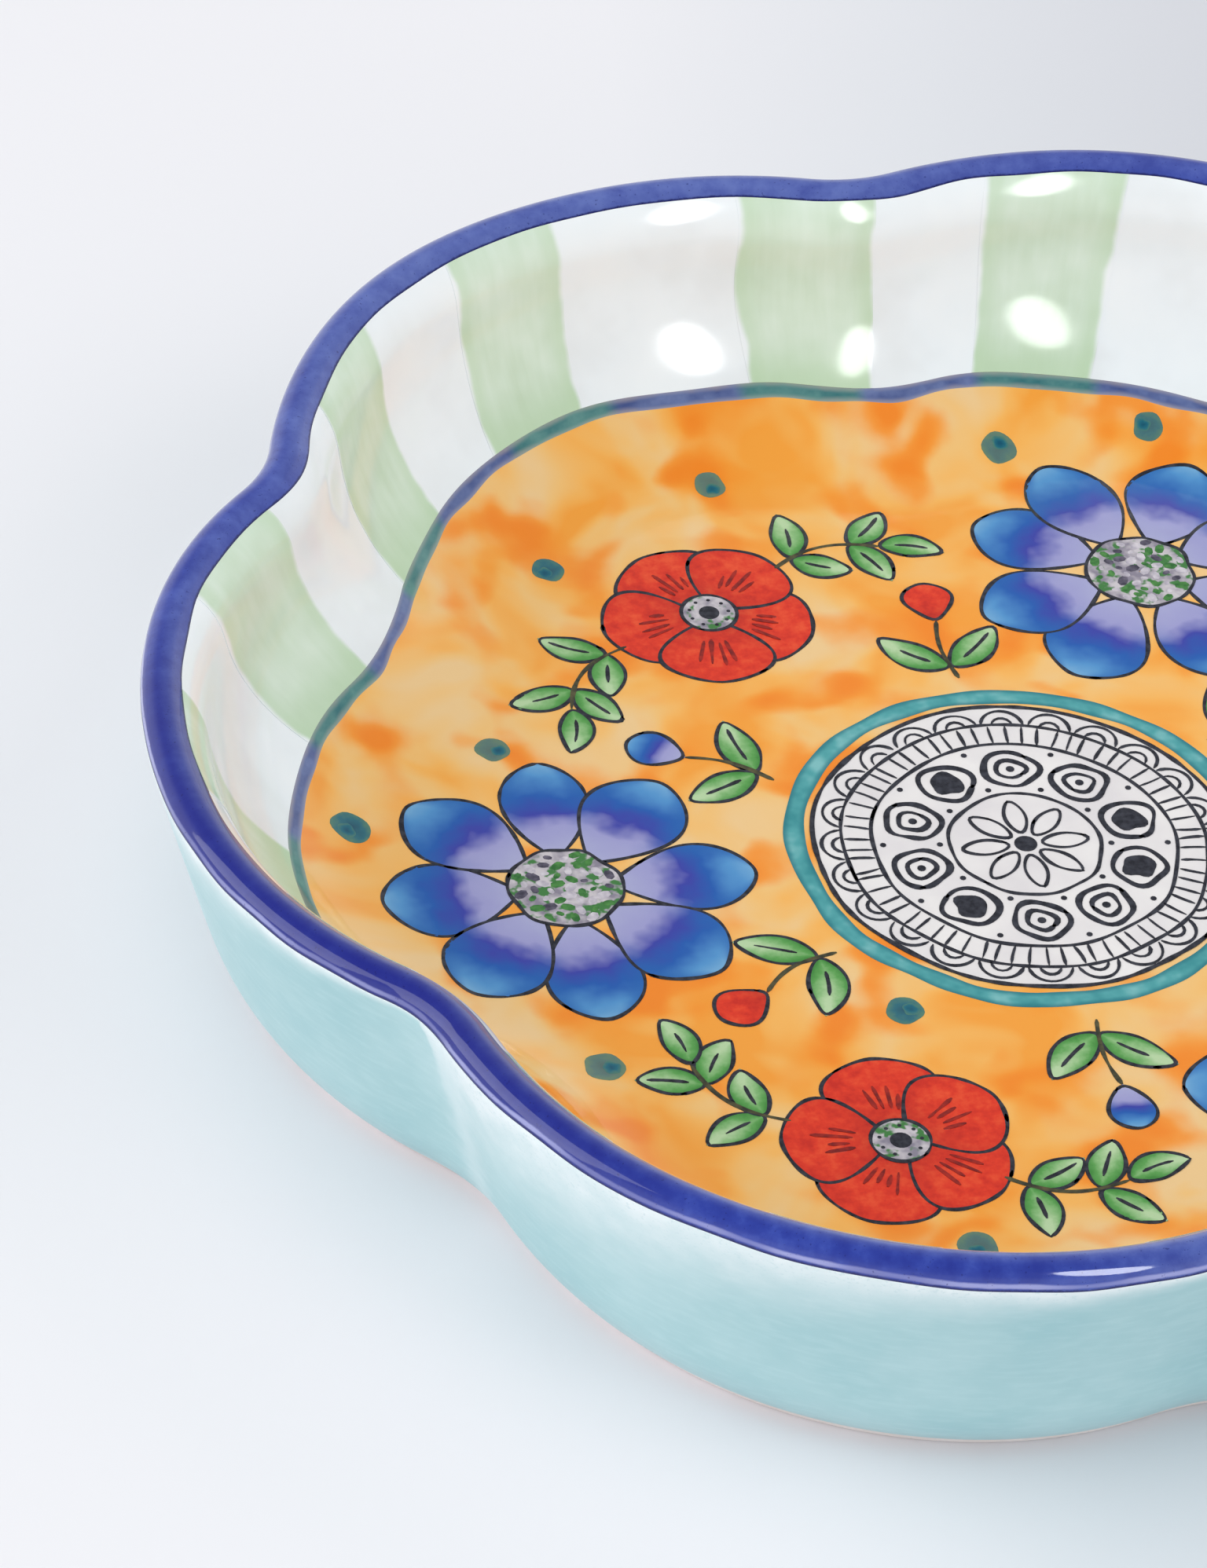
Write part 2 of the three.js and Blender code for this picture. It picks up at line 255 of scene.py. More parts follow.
RIM_RISE = 0.12
RIM_SWAY = 0.2
RISE_POWER = 1.5
EVEN_HEIGHT = 12.0
SWAY_HEIGHT = 16.0
rim_rise = RoundWaves(3, 5, 14)
rim_sway = RoundWaves(4, 4, 13)
RIM_RISES = (
    (0, 0.3), (60, 0.3), (115, 0.25), (165, 0.0), (200, 0.3), (235, 1.1), (262, 0.9), (310, 0.5))
FOOT_SWAYS = (
    (0, 0.0), (60, 0.1), (150, 0.0), (215, 0.0), (245, 0.5), (262, 1.3), (285, 0.9), (320, 0.2))


def round_table(pairs, blur=14):
    """A smooth closed curve through values given at degrees round the dish."""
    degrees = np.arange(360)
    places, values = np.array(pairs, float).T
    rough = np.interp(degrees, places, values, period=360)
    window = np.hanning(2 * blur + 1)
    padded = np.concatenate([rough[-blur:], rough, rough[:blur]])
    smooth = np.convolve(padded, window / window.sum(), "valid")
    return lambda angle: np.interp(np.degrees(angle), degrees, smooth, period=360)


rim_lift = round_table(RIM_RISES)
foot_sway = round_table(FOOT_SWAYS)


def surface(walked, angle, lift=0.0):
    """Points of the glazed surface in millimetres, as (..., 3)."""
    offset, height = SECTION.at(walked, lift)
    high = np.clip((height - EVEN_HEIGHT) / (DISH_HEIGHT - EVEN_HEIGHT), 0, 1) ** RISE_POWER
    low = np.clip(1 - height / SWAY_HEIGHT, 0, 1) * (walked < SECTION.lip_start)
    reach = outline_reach(offset, angle) + high * RIM_SWAY * rim_sway(angle) + low * foot_sway(angle)
    height = height + high * (rim_lift(angle) + RIM_RISE * rim_rise(angle))
    return np.concatenate([polar(reach, angle), height[..., None]], -1)


def floor_points(plan, lift):
    """Points of the floor over plan places."""
    x, y = plan[..., 0], plan[..., 1]
    return np.stack([x, y, SECTION.floor_height(offset_at(x, y)) + lift], -1)


# Meshes

SHARP_ANGLE = math.radians(42)


def link(name, data):
    made = bpy.data.objects.new(name, data)
    bpy.context.collection.objects.link(made)
    return made


def make_mesh(name, points, faces, paint=None, smooth=True):
    """A mesh object in metres. paint gives each vertex three numbers for its material."""
    mesh = bpy.data.meshes.new(name)
    points = np.asarray(points, float).reshape(-1, 3) * MILLIMETRE
    mesh.from_pydata(points.tolist(), [], [list(map(int, f)) for f in faces])
    if paint is not None:
        layer = mesh.attributes.new("paint", "FLOAT_VECTOR", "POINT")
        layer.data.foreach_set("vector", np.asarray(paint, float).reshape(-1))
    mesh.validate()
    if smooth:
        mesh.shade_smooth()
        mesh.set_sharp_from_angle(angle=SHARP_ANGLE)
    return link(name, mesh)


def grid_faces(rows, columns, closed_rows=False, closed_columns=False, start=0):
    """Quads of a grid of vertices, whose face is up where rows go inward and columns turn left."""
    faces = []
    for row in range(rows if closed_rows else rows - 1):
        here = start + row * columns
        above = start + (row + 1) % rows * columns
        for column in range(columns if closed_columns else columns - 1):
            beside = (column + 1) % columns
            faces.append((here + column, here + beside, above + beside, above + column))
    return faces


ANGLES = np.arange(COLUMNS) * TURN / COLUMNS


def round_coat(name, start, end, rows):
    """A closed coat round the dish between two lines, each a distance walked per column."""
    walked = start + (end - start) * np.linspace(0, 1, rows)[:, None]
    points = np.concatenate([surface(walked, ANGLES), surface(walked[::-1], ANGLES, -GLAZE_THICKNESS)])
    paint = np.zeros(points.shape)
    paint[:rows, :, 0] = walked - start
    paint[:rows, :, 1] = end - walked
    faces = grid_faces(len(points), COLUMNS, closed_rows=True, closed_columns=True)
    return make_mesh(name, points, faces, paint)


def shrunk(ring, shares):
    """Rings that shrink from one ring to the axis and keep its height."""
    rings = ring[None] * np.array(shares)[:, None, None]
    rings[..., 2] = ring[..., 2]
    return rings


def with_middle(name, rings, paint, middle_paint=0.0):
    """A closed plate: rings from the middle of its underside round to the middle of its top."""
    faces = grid_faces(len(rings), COLUMNS, closed_columns=True)
    low = len(rings) * COLUMNS
    last = low - COLUMNS
    for column in range(COLUMNS):
        beside = (column + 1) % COLUMNS
        faces.append((low, beside, column))
        faces.append((low + 1, last + column, last + beside))
    middles = [[0, 0, ring[:, 2].mean()] for ring in (rings[0], rings[-1])]
    points = np.concatenate([rings.reshape(-1, 3), middles])
    paint = np.concatenate([paint.reshape(-1, 3), np.full((2, 3), middle_paint)])
    return make_mesh(name, points, faces, paint)


def keep(piece, slot, *nodes, material=None):
    """Puts a piece on the dish's one body, in place of the nodes that it stands for."""
    if material:
        piece.data.materials.append(material)
    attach(piece, "root")
    if nodes:
        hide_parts(*nodes)


# Materials

def tint(red, green, blue):
    """A linear colour from display values of 0 to 255."""
    shares = np.array([red, green, blue]) / 255
    linear = np.where(shares <= 0.04045, shares / 12.92, ((shares + 0.055) / 1.055) ** 2.4)
    return (*map(float, linear), 1.0)


def arithmetic(operation):
    return lambda value, *others: value.tree.math(operation, value, *others)


class Value:
    """A number that a material's nodes work out. Arithmetic on it adds Math nodes."""

    __add__ = arithmetic("ADD")
    __sub__ = arithmetic("SUBTRACT")
    __mul__ = arithmetic("MULTIPLY")
    __truediv__ = arithmetic("DIVIDE")
    __pow__ = arithmetic("POWER")
    __abs__ = arithmetic("ABSOLUTE")

    def __init__(self, tree, socket):
        self.tree = tree
        self.socket = socket

    def __rsub__(self, other):
        return self.tree.math("SUBTRACT", other, self)


class Tree:
    """Short calls that build one material's nodes."""

    def __init__(self, owner):
        owner.use_nodes = True
        self.owner = owner
        self.tree = owner.node_tree
        self.tree.nodes.clear()
        self.seen = {}

    def add(self, kind, inputs=None, **settings):
        made = self.tree.nodes.new("ShaderNode" + kind)
        for key, value in settings.items():
            setattr(made, key, value)
        for key, value in (inputs or {}).items():
            self.feed(made.inputs[key], value)
        return made

    def feed(self, socket, value):
        value = getattr(value, "socket", value)
        if isinstance(value, bpy.types.NodeSocket):
            self.tree.links.new(value, socket)
        else:
            socket.default_value = value

    def once(self, kind):
        if kind not in self.seen:
            self.seen[kind] = self.add(kind)
        return self.seen[kind]

    def place(self):
        return self.once("TexCoord").outputs["Object"]

    def moved(self, **settings):
        """The place, shifted or stretched."""
        return self.add("Mapping", {"Vector": self.place(), **settings}).outputs[0]

    def parts(self, vector):
        made = self.add("SeparateXYZ", {0: vector})
        return [Value(self, output) for output in made.outputs]

    def paint(self):
        """The three numbers that each vertex carries for its paint."""
        return self.parts(self.add("Attribute", attribute_name="paint").outputs["Vector"])

    def angle(self):
        """The angle round the dish, from -pi to pi."""
        x, y, _ = self.parts(self.place())
        return self.math("ARCTAN2", y, x)

    def math(self, operation, *values, clamp=False):
        made = self.add("Math", dict(enumerate(values)), operation=operation, use_clamp=clamp)
        return Value(self, made.outputs[0])

    def mix(self, share, first, second):
        return self.add("Mix", {0: share, 6: first, 7: second}, data_type="RGBA").outputs[2]

    def over(self, under, share, *colour):
        """A colour laid over another by a share."""
        return self.mix(share, under, tint(*colour))

    def ramp(self, value, *stops):
        made = self.add("ValToRGB", {0: value})
        elements = made.color_ramp.elements
        while len(elements) < len(stops):
            elements.new(0.5)
        for element, (position, colour) in zip(elements, stops):
            element.position = position
            element.color = colour
        return made.outputs[0]

    def shades(self, value, *stops):
        """A ramp whose stops are each a position and the display values of a colour."""
        return self.ramp(value, *((position, tint(*colour)) for position, *colour in stops))

    def step(self, value, low, high):
        made = self.add("MapRange", {0: value, 1: low, 2: high}, interpolation_type="SMOOTHSTEP")
        return Value(self, made.outputs[0])

    def noise(self, size, detail=2.0, roughness=0.5, distortion=0.0, place=None):
        """Noise of a feature size in millimetres."""
        inputs = {
            "Vector": place or self.place(),
            "Scale": 1 / (size * MILLIMETRE),
            "Detail": detail,
            "Roughness": roughness,
            "Distortion": distortion,
        }
        return Value(self, self.add("TexNoise", inputs).outputs[0])

    def bump(self, height, distance, normal=None):
        """A bump of a height in millimetres, laid on another if one is given."""
        inputs = {"Height": height, "Distance": distance * MILLIMETRE, "Strength": 1.0}
        if normal:
            inputs["Normal"] = normal
        return self.add("Bump", inputs).outputs[0]

    def slow_waves(self):
        return self.bump(self.noise(9.0, detail=1.0), 0.05)

    def finish(self, colour, roughness=0.06, normal=None, specular=0.5, sheen=0.0):
        """The shader. A finish without bumps of its own has a glaze's slow waves and fine pits."""
        inputs = {
            "Base Color": colour,
            "Roughness": roughness,
            "IOR": 1.5,
            "Specular IOR Level": specular,
            "Sheen Weight": sheen,
            "Sheen Roughness": 0.3,
            "Normal": normal or self.bump(self.noise(1.1), 0.003, self.slow_waves()),
        }
        shader = self.add("BsdfPrincipled", inputs)
        self.add("OutputMaterial", {0: shader.outputs[0]}, is_active_output=True)
        return self.owner


def new_look(name):
    return Tree(bpy.data.materials.new(name))


def cream_colour(tree):
    cloudy = tree.noise(14.0, detail=3.0)
    return tree.shades(cloudy, (0.3, 234, 240, 243), (0.5, 242, 249, 253), (0.7, 246, 252, 255))


def cream_glaze():
    tree = new_look("cream_glaze")
    return tree.finish(cream_colour(tree), 0.12)


def mint_paint():
    """Thin green brushwork: streaks down the wall, pale worn edges, pooled at the foot."""
    tree = new_look("mint_paint")
    down, across, number = tree.paint()
    streak_place = tree.add("CombineXYZ", {0: down * 0.006, 1: across * 0.012, 2: number}).outputs[0]
    streaks = tree.noise(2.2, detail=3.0, place=streak_place)
    clouds = tree.noise(7.0)
    green = tree.shades(
        streaks * 0.3 + clouds * 0.7, (0.3, 202, 224, 199), (0.5, 213, 233, 213), (0.7, 223, 240, 225))
    pooled = tree.step(down, 0.72, 1.0)
    green = tree.over(green, pooled * 0.6, 184, 214, 174)
    worn = abs(across) + (clouds - 0.5) * 0.25
    green = tree.over(green, tree.step(worn, 0.6, 0.86) * 0.35, 189, 218, 181)
    outside = tree.step(worn, 0.9, 1.02)
    return tree.finish(tree.mix(outside, green, cream_colour(tree)), 0.12)


def cobalt_glaze():
    """Blue laid thickly and dark with painted shade on two sides of the lip, pale with painted sheen
    between; a painted glint on its arris and a painted sheen on its top.
    """
    tree = new_look("cobalt_glaze")
    below, above, _ = tree.paint()
    mottle = tree.noise(2.6, detail=4.0, roughness=0.6)
    blue = tree.shades(mottle, (0.3, 38, 53, 146), (0.5, 46, 64, 158), (0.7, 60, 80, 172))
    # Painted shade and sheen round the dish: the blue darker on two opposite sides and paler between
    # them, partly uneven glaze and partly painted reflection.
    drift = tree.noise(20.0, detail=1.0) - 0.5
    wave = tree.math("COSINE", tree.angle() * 2.0 - 0.7) + drift * 0.8
    thick_and_shaded = tree.step(wave, 0.3, 0.95)
    blue = tree.over(blue, thick_and_shaded * 0.75, 26, 30, 126)
    thin_and_sheen = tree.step(wave * -1.0, 0.1, 0.85) * (mottle * 1.1 - 0.05)
    blue = tree.over(blue, thin_and_sheen, 98, 116, 182)
    # A painted sheen: the top of the lip paler blue, where light from above reflects.
    top = tree.step(below, 2.6, 4.2) * (thick_and_shaded * -0.15 + 0.3)
    top = top * (tree.step(below, 4.4, 6.4) * -0.7 + 1.0) * (mottle * 1.6 + 0.2)
    blue = tree.over(blue, top, 114, 130, 194)
    # A painted glint: a pale line along the lip's outer arris, broken in places.
    arris = 1.0 - tree.step(abs(below - 0.62) + mottle * 0.3, 0.25, 0.52)
    broken = tree.step(tree.noise(14.0, detail=1.0), 0.36, 0.58) * 0.45 + 0.35
    blue = tree.over(blue, arris * broken, 172, 176, 226)
    specks = tree.step(tree.noise(0.35, detail=1.0), 0.70, 0.74)
    blue = tree.over(blue, specks * 0.5, 20, 22, 90)
    fine = tree.noise(0.9, detail=3.0, roughness=0.7) - 0.5
    edge = tree.math("MINIMUM", below, above) + fine * 0.4
    ragged = 1.0 - tree.step(edge, 0.1, 0.36)
    return tree.finish(tree.over(blue, ragged, 26, 32, 96), sheen=0.4)


def aqua_glaze():
    """Aqua that thins to white under the lip, with painted highlight in that pale zone reaching furthest
    on the side of each lobe after its notch, and painted highlight streaks down each notch.
    """
    tree = new_look("aqua_glaze")
    up, below_band, _ = tree.paint()
    cloudy = tree.noise(16.0, detail=4.0, roughness=0.55)
    small = tree.noise(3.5) - 0.5
    drift = tree.noise(40.0, detail=1.0)
    aqua = tree.shades(cloudy, (0.32, 158, 202, 207), (0.5, 167, 207, 211), (0.68, 177, 213, 217))
    brushed = tree.noise(0.8, detail=3.0, place=tree.moved(Scale=(0.25, 0.25, 1.0)))
    aqua = tree.over(aqua, tree.step(brushed, 0.4, 0.75) * 0.2, 200, 229, 232)
    # The pale zone under the lip: partly glaze thinning there, partly a painted highlight that reaches
    # furthest down the side of each lobe just after its notch.
    share = tree.math("FRACT", small * 0.04 + (tree.angle() * (LOBE_COUNT / TURN) + 0.5))
    after_notch = tree.step(share, 0.0, 0.04)
    reach = ((1.0 - share) ** 1.3 * after_notch * 34.0 + 0.8) * (drift * 0.8 + 0.6)
    depth = (cloudy - 0.5 + small) * 0.3 + below_band / reach
    pale = tree.math("SUBTRACT", 1.0, depth, clamp=True) ** 2.5
    aqua = tree.over(aqua, pale * 0.95, 236, 245, 247)
    worn = tree.step(tree.noise(0.45), 0.56, 0.7) * pale
    aqua = tree.over(aqua, worn * 0.35, 176, 208, 214)
    # A painted highlight: pale streaks down each notch of the outside.
    fold_highlight = 1.0 - tree.step(abs(share - 0.04), 0.0, 0.045)
    fold_highlight = fold_highlight * tree.math("MULTIPLY_ADD", drift, 1.2, -0.2, clamp=True)
    aqua = tree.over(aqua, fold_highlight, 224, 239, 242)
    bare = 1.0 - tree.step(up, 0.0, 0.5)
    aqua = tree.over(aqua, bare * 0.6, 224, 222, 222)
    return tree.finish(aqua, 0.34, tree.bump(tree.noise(0.7), 0.003, tree.slow_waves()))


def line_paint():
    """The painted line at the wall's foot: blue-grey on the cream, teal where it crosses green."""
    tree = new_look("line_paint")
    inner, outer, _ = tree.paint()
    turned = (tree.angle() - FIRST_STRIPE_ANGLE) / (TURN / STRIPE_COUNT)
    beside = abs(turned - tree.math("ROUND", turned))
    on_green = 1.0 - tree.step(beside, 0.2, 0.28)
    mottle = tree.noise(3.0, detail=3.0)
    blue = tree.shades(mottle, (0.3, 62, 79, 136), (0.7, 108, 124, 172))
    teal = tree.shades(mottle, (0.3, 54, 114, 120), (0.7, 98, 148, 144))
    line = tree.mix(on_green, blue, teal)
    soft = 1.0 - tree.step(tree.math("MINIMUM", inner, outer) + mottle, 0.3, 1.2)
    return tree.finish(tree.mix(soft * 0.7, line, tree.over(line, 0.5, 226, 214, 196)))


def amber_glaze():
    """The sponged ground: pale yellow, patches of orange, and a few deeper dabs near the edge."""
    tree = new_look("amber_glaze")
    rim_share = tree.paint()[0]
    amber = tree.shades(
        tree.noise(15.0, detail=2.5, distortion=0.5),
        (0.36, 250, 165, 62), (0.47, 251, 185, 94), (0.56, 247, 197, 122), (0.68, 243, 205, 147))
    fine = tree.noise(5.0, detail=2.5) - 0.5
    loaded = tree.noise(11.0, detail=1.2, distortion=0.4, place=tree.moved(Location=(0.3, 0.1, 0.2)))
    near_edge = rim_share * 0.07 + (fine * 0.14 + loaded)
    amber = tree.over(amber, tree.step(near_edge, 0.53, 0.69) * 0.9, 251, 154, 48)
    amber = tree.over(amber, tree.step(near_edge, 0.63, 0.76) * 0.7, 247, 131, 26)
    return tree.finish(amber)


def bare_clay():
    tree = new_look("bare_clay")
    grain = tree.noise(0.6, detail=4.0, roughness=0.7)
    clay = tree.shades(tree.noise(8.0), (0.3, 224, 216, 212), (0.7, 235, 229, 227))
    clay = tree.over(clay, tree.step(grain, 0.66, 0.72) * 0.5, 170, 140, 120)
    return tree.finish(clay, 0.85, tree.bump(grain, 0.03), specular=0.3)


# Round pieces

RING_SHARES = (0.3, 0.65, 1.0)
BODY_ROWS = 90
COAT_ROWS = 40
OUTSIDE_ROWS = 48
LINE_ROWS = 5
GROUND_ROWS = 14
GROUND_RING_SHARES = (0.85, 0.6, 0.3)
BASE_GLAZE_GAP = 0.3
FAR_FROM_EDGES = 9.0
EDGE_WANDER = 0.16
LINE_WANDER = 0.22
LINE_WIDTH_WANDER = 0.2
LINE_NOTCH_RISE = 1.3
LINE_SHIFTS = (
    (50, 0), (58, 1.6), (66, 1.2), (76, 0), (90, -0.6), (100, -1.6), (122, -1.4), (135, 0), (220, 0))
edge_waves = RoundWaves(11, 5, 60)
inside_waves = RoundWaves(12, 5, 50)
line_waves = RoundWaves(13, 4, 26)
line_width_waves = RoundWaves(14, 5, 60)
line_shift = round_table(LINE_SHIFTS, blur=6)


def band_outside(angle):
    return SECTION.band_outside + EDGE_WANDER * edge_waves(angle)


def band_inside(angle):
    return SECTION.band_inside + EDGE_WANDER * inside_waves(angle)


def line_start(angle):
    notch_share = 0.5 - 0.5 * np.cos(LOBE_COUNT * angle)
    drift = LINE_WANDER * line_waves(angle) + line_shift(angle)
    return SECTION.line_start + drift - LINE_NOTCH_RISE * notch_share ** 2


def line_end(angle):
    return line_start(angle) + FLOOR_LINE_WIDTH + LINE_WIDTH_WANDER * line_width_waves(angle)


def plain_rings(offset, height, shares=(1.0,)):
    places = polar(outline_reach(offset, ANGLES) + foot_sway(ANGLES), ANGLES)
    return shrunk(np.insert(places, 2, height, axis=-1), shares)


def floor_rings(shares, lift=0.0):
    """Rings of the flat floor, from the end of the cove inward."""
    return shrunk(surface(np.full(COLUMNS, SECTION.cove_end), ANGLES, lift), shares)


def make_body(material):
    below = plain_rings(FOOT_TOP[0] + FOOT_STEP, FOOT_TOP[1], RING_SHARES)
    walked = np.linspace(0, SECTION.cove_end, BODY_ROWS)[:, None] + 0 * ANGLES
    skin = surface(walked, ANGLES, -GLAZE_THICKNESS)
    rings = np.concatenate([below, skin, floor_rings(RING_SHARES[-2::-1], -GLAZE_THICKNESS)])
    keep(with_middle("clay_body", rings, 0 * rings), "clay", "dish_body", material=material)


def make_foot(material):
    outer = FOOT_TOP[0] + FOOT_STEP
    inner = outer + FOOT_WIDTH
    turns = np.linspace(0, math.pi / 2, 5)
    in_share, up_share = 1 - np.cos(turns), 1 - np.sin(turns)
    section = [
        (inner, FOOT_TOP[1]),
        *zip(inner - FOOT_CHAMFER * in_share, FOOT_CHAMFER * up_share),
        *zip(outer + FOOT_CHAMFER * up_share, FOOT_CHAMFER * in_share),
        (outer, FOOT_TOP[1]),
    ]
    rings = np.concatenate([plain_rings(offset, height) for offset, height in section])
    faces = grid_faces(len(rings), COLUMNS, closed_rows=True, closed_columns=True)
    keep(make_mesh("foot", rings, faces), "clay", "foot_ring", material=material)


def make_base_glaze(material):
    offset = FOOT_TOP[0] + FOOT_STEP + FOOT_WIDTH + BASE_GLAZE_GAP
    low = plain_rings(offset, FOOT_TOP[1] - GLAZE_THICKNESS, RING_SHARES)
    rings = np.concatenate([low, plain_rings(offset, FOOT_TOP[1], RING_SHARES[::-1])])
    piece = with_middle("base_coat", rings, 0 * rings + FAR_FROM_EDGES, FAR_FROM_EDGES)
    keep(piece, "aqua_glaze", "base_glaze", material=material)


def make_ground(material):
    inward = np.linspace(0, 1, GROUND_ROWS)[:, None]
    start = line_end(ANGLES)
    walked = start + (SECTION.cove_end - start) * inward
    skin = surface(walked, ANGLES)
    below = floor_rings(RING_SHARES, -GLAZE_THICKNESS)
    back = surface(walked[::-4], ANGLES, -GLAZE_THICKNESS)[1:]
    edge = surface(start, ANGLES, -GLAZE_THICKNESS)[None]
    rings = np.concatenate([below, back, edge, skin, floor_rings(GROUND_RING_SHARES)])
    reach = np.linalg.norm(rings[..., :2], axis=-1)
    paint = np.stack([reach / reach.max(), 0 * reach, 0 * reach], -1)
    keep(with_middle("ground", rings, paint), "amber_glaze", "floor_glaze", material=material)


# Stripes down the inner wall

STRIPE_LIFT = 0.06
STRIPE_BACK_LIFT = 0.01
STRIPE_ROWS = 40
STRIPE_COLUMNS = 16
STRIPE_WIDTH_SHARES = (0.94, 1.08)
STRIPE_STRAY = 0.012
STRIPE_LEAN = 0.02
STRIPE_EDGE_WANDER_SHARE = 0.045


def make_stripe(number, material):
    middle = FIRST_STRIPE_ANGLE + number * TURN / STRIPE_COUNT
    half = TURN / STRIPE_COUNT * STRIPE_PITCH_SHARE / 2
    random = np.random.default_rng(100 + number)
    half *= random.uniform(*STRIPE_WIDTH_SHARES)
    middle += random.normal(0, STRIPE_STRAY)
    lean = random.normal(0, STRIPE_LEAN)
    left = Waves(200 + number, 2, 9)
    right = Waves(300 + number, 2, 9)
    down = np.linspace(0, 1, STRIPE_ROWS)[:, None]
    across = np.linspace(-1, 1, STRIPE_COLUMNS)[None]
    side = np.where(across > 0, left(down), right(down))
    angle = middle + lean * (down - 0.5) + across * half * (1 + STRIPE_EDGE_WANDER_SHARE * side)
    walked = band_inside(angle) + (line_start(angle) - band_inside(angle)) * down
    front = surface(walked, angle, STRIPE_LIFT)
    back = surface(walked, angle, STRIPE_BACK_LIFT)
    points = np.concatenate([front.reshape(-1, 3), back.reshape(-1, 3)])
    paint = np.stack(np.broadcast_arrays(down, across, float(number)), -1).reshape(-1, 3)
    faces = plate_faces(STRIPE_ROWS, STRIPE_COLUMNS)
    piece = make_mesh(f"stripe_{number + 1:02d}", points, faces, np.concatenate([paint, paint]))
    keep(piece, "mint_paint", f"wall_stripe_{number + 1:02d}", material=material)


def plate_faces(rows, columns, start=0):
    """Faces of a closed sheet whose front grid comes before its back grid."""
    count = rows * columns
    front = grid_faces(rows, columns, start=start)
    back = [tuple(corner + count for corner in reversed(face)) for face in front]
    grid = start + np.arange(count).reshape(rows, columns)
    ring = [*grid[0], *grid[1:, -1], *grid[-1, -2::-1], *grid[-2:0:-1, 0]]
    sides = [(a, a + count, b + count, b) for a, b in zip(ring, ring[1:] + ring[:1])]
    return front + back + sides


# Painted shapes on the floor

PAINT_LIFT = 0.03
PAINT_BACK_LIFT = 0.008
LAYER_LIFT = 0.012
LAID_LIFT = 0.0004
LAID_CYCLE = 12
INK_LAYER = 5
OUTLINE_LAYER_STEP = 0.5
INK_WIDTH = 0.43
PEN_STEP = 0.55
PEN_WOBBLE_SHARE = 0.12
PEN_WAVE_RATES = (0.25, 2.2)
LOOP_OVERLAP_PARTS = 30
DISC_START_SHARE = 0.02
TAPER_SHARE = 1.6
TIP_SHARE = 0.35
SEED_LIMIT = 1 << 30

painted_places = []


class Painting:
    """Flat painted shapes gathered into one piece. Each shape is a grid of plan places."""

    def __init__(self, name, seed):
        self.name = name
        self.random = np.random.default_rng(seed)
        self.points, self.faces, self.paint, self.slots = [], [], [], []
        self.materials = []
        self.count = 0
        self.laid = 0

    def slot_of(self, material):
        if material not in self.materials:
            self.materials.append(material)
        return self.materials.index(material)

    def add(self, plan, paint, material, layer=0):
        rows, columns = plan.shape[:2]
        painted_places.append(plan.reshape(-1, 2))
        self.laid += 1
        lift = PAINT_LIFT + LAYER_LIFT * layer + LAID_LIFT * (self.laid % LAID_CYCLE)
        for height in (lift, PAINT_BACK_LIFT):
            self.points.append(floor_points(plan, height).reshape(-1, 3))
            self.paint.append(paint.reshape(-1, 3))
        faces = plate_faces(rows, columns, self.count)
        self.faces += faces
        self.slots += [self.slot_of(material)] * len(faces)
        self.count += 2 * rows * columns

    def ribbon(self, spine, half_widths, material, layer=0, across=7, number=0.0):
        """A shape along a spine: paint is along 0 to 1, across -1 to 1, and a number."""
        shares = np.linspace(-1, 1, across)
        left = left_of(spine) * np.asarray(half_widths)[:, None]
        plan = spine[:, None] + left[:, None] * shares[:, None]
        along = np.linspace(0, 1, len(spine))[:, None]
        paint = np.stack(np.broadcast_arrays(along, shares, float(number)), -1)
        self.add(plan[:, ::-1], paint[:, ::-1], material, layer)

    def line(self, points, material, width=INK_WIDTH, layer=INK_LAYER):
        """A pen or brush line with a living width and tapered ends."""
        points = smooth_line(points, PEN_STEP)
        walk = np.arange(len(points)) * PEN_STEP
        waves = Waves(int(self.random.integers(SEED_LIMIT)), *PEN_WAVE_RATES)
        half = width / 2 * (1 + 2 * PEN_WOBBLE_SHARE * waves(walk))
        end = np.minimum(walk, walk[::-1]) / (TAPER_SHARE * width)
        self.ribbon(points, half * np.clip(TIP_SHARE + end, 0, 1), material, layer, across=2)

    def loop(self, points, material, width=INK_WIDTH, layer=INK_LAYER):
        """A closed pen line, whose ends overlap a little as a hand leaves them."""
        start = int(self.random.integers(len(points)))
        turned_points = np.roll(points, -start, axis=0)
        over = max(2, len(points) // LOOP_OVERLAP_PARTS)
        self.line(np.concatenate([turned_points, turned_points[:over]]), material, width, layer)

    def outlined(self, spine, half_widths, material, ink, layer, across=7, number=0.0):
        """A shape along a spine, with a pen line round it."""
        self.ribbon(spine, half_widths, material, layer, across, number)
        self.loop(ribbon_outline(spine, half_widths), ink, layer=layer + OUTLINE_LAYER_STEP)

    def disc(self, middle, radii, material, layer=0, rings=5, number=0.0):
        """A filled round: paint is the share of its radius, its angle and a number."""
        angles = np.linspace(0, TURN, len(radii) + 1)
        shares = np.linspace(DISC_START_SHARE, 1, rings)[:, None]
        plan = middle + polar(shares * np.append(radii, radii[0]), angles)
        paint = np.stack(np.broadcast_arrays(shares, angles / TURN, float(number)), -1)
        self.add(plan[::-1], paint[::-1], material, layer)

    def spot(self, middle, radius, material, count=8, rings=2):
        """A plain round of ink."""
        self.disc(middle, np.full(count, radius), material, layer=INK_LAYER, rings=rings)

    def finish(self, slot, *nodes):
        paint = np.concatenate(self.paint)
        piece = make_mesh(self.name, np.concatenate(self.points), self.faces, paint)
        for material in self.materials:
            piece.data.materials.append(material)
        piece.data.polygons.foreach_set("material_index", np.array(self.slots, dtype=np.int32))
        keep(piece, slot, *nodes)


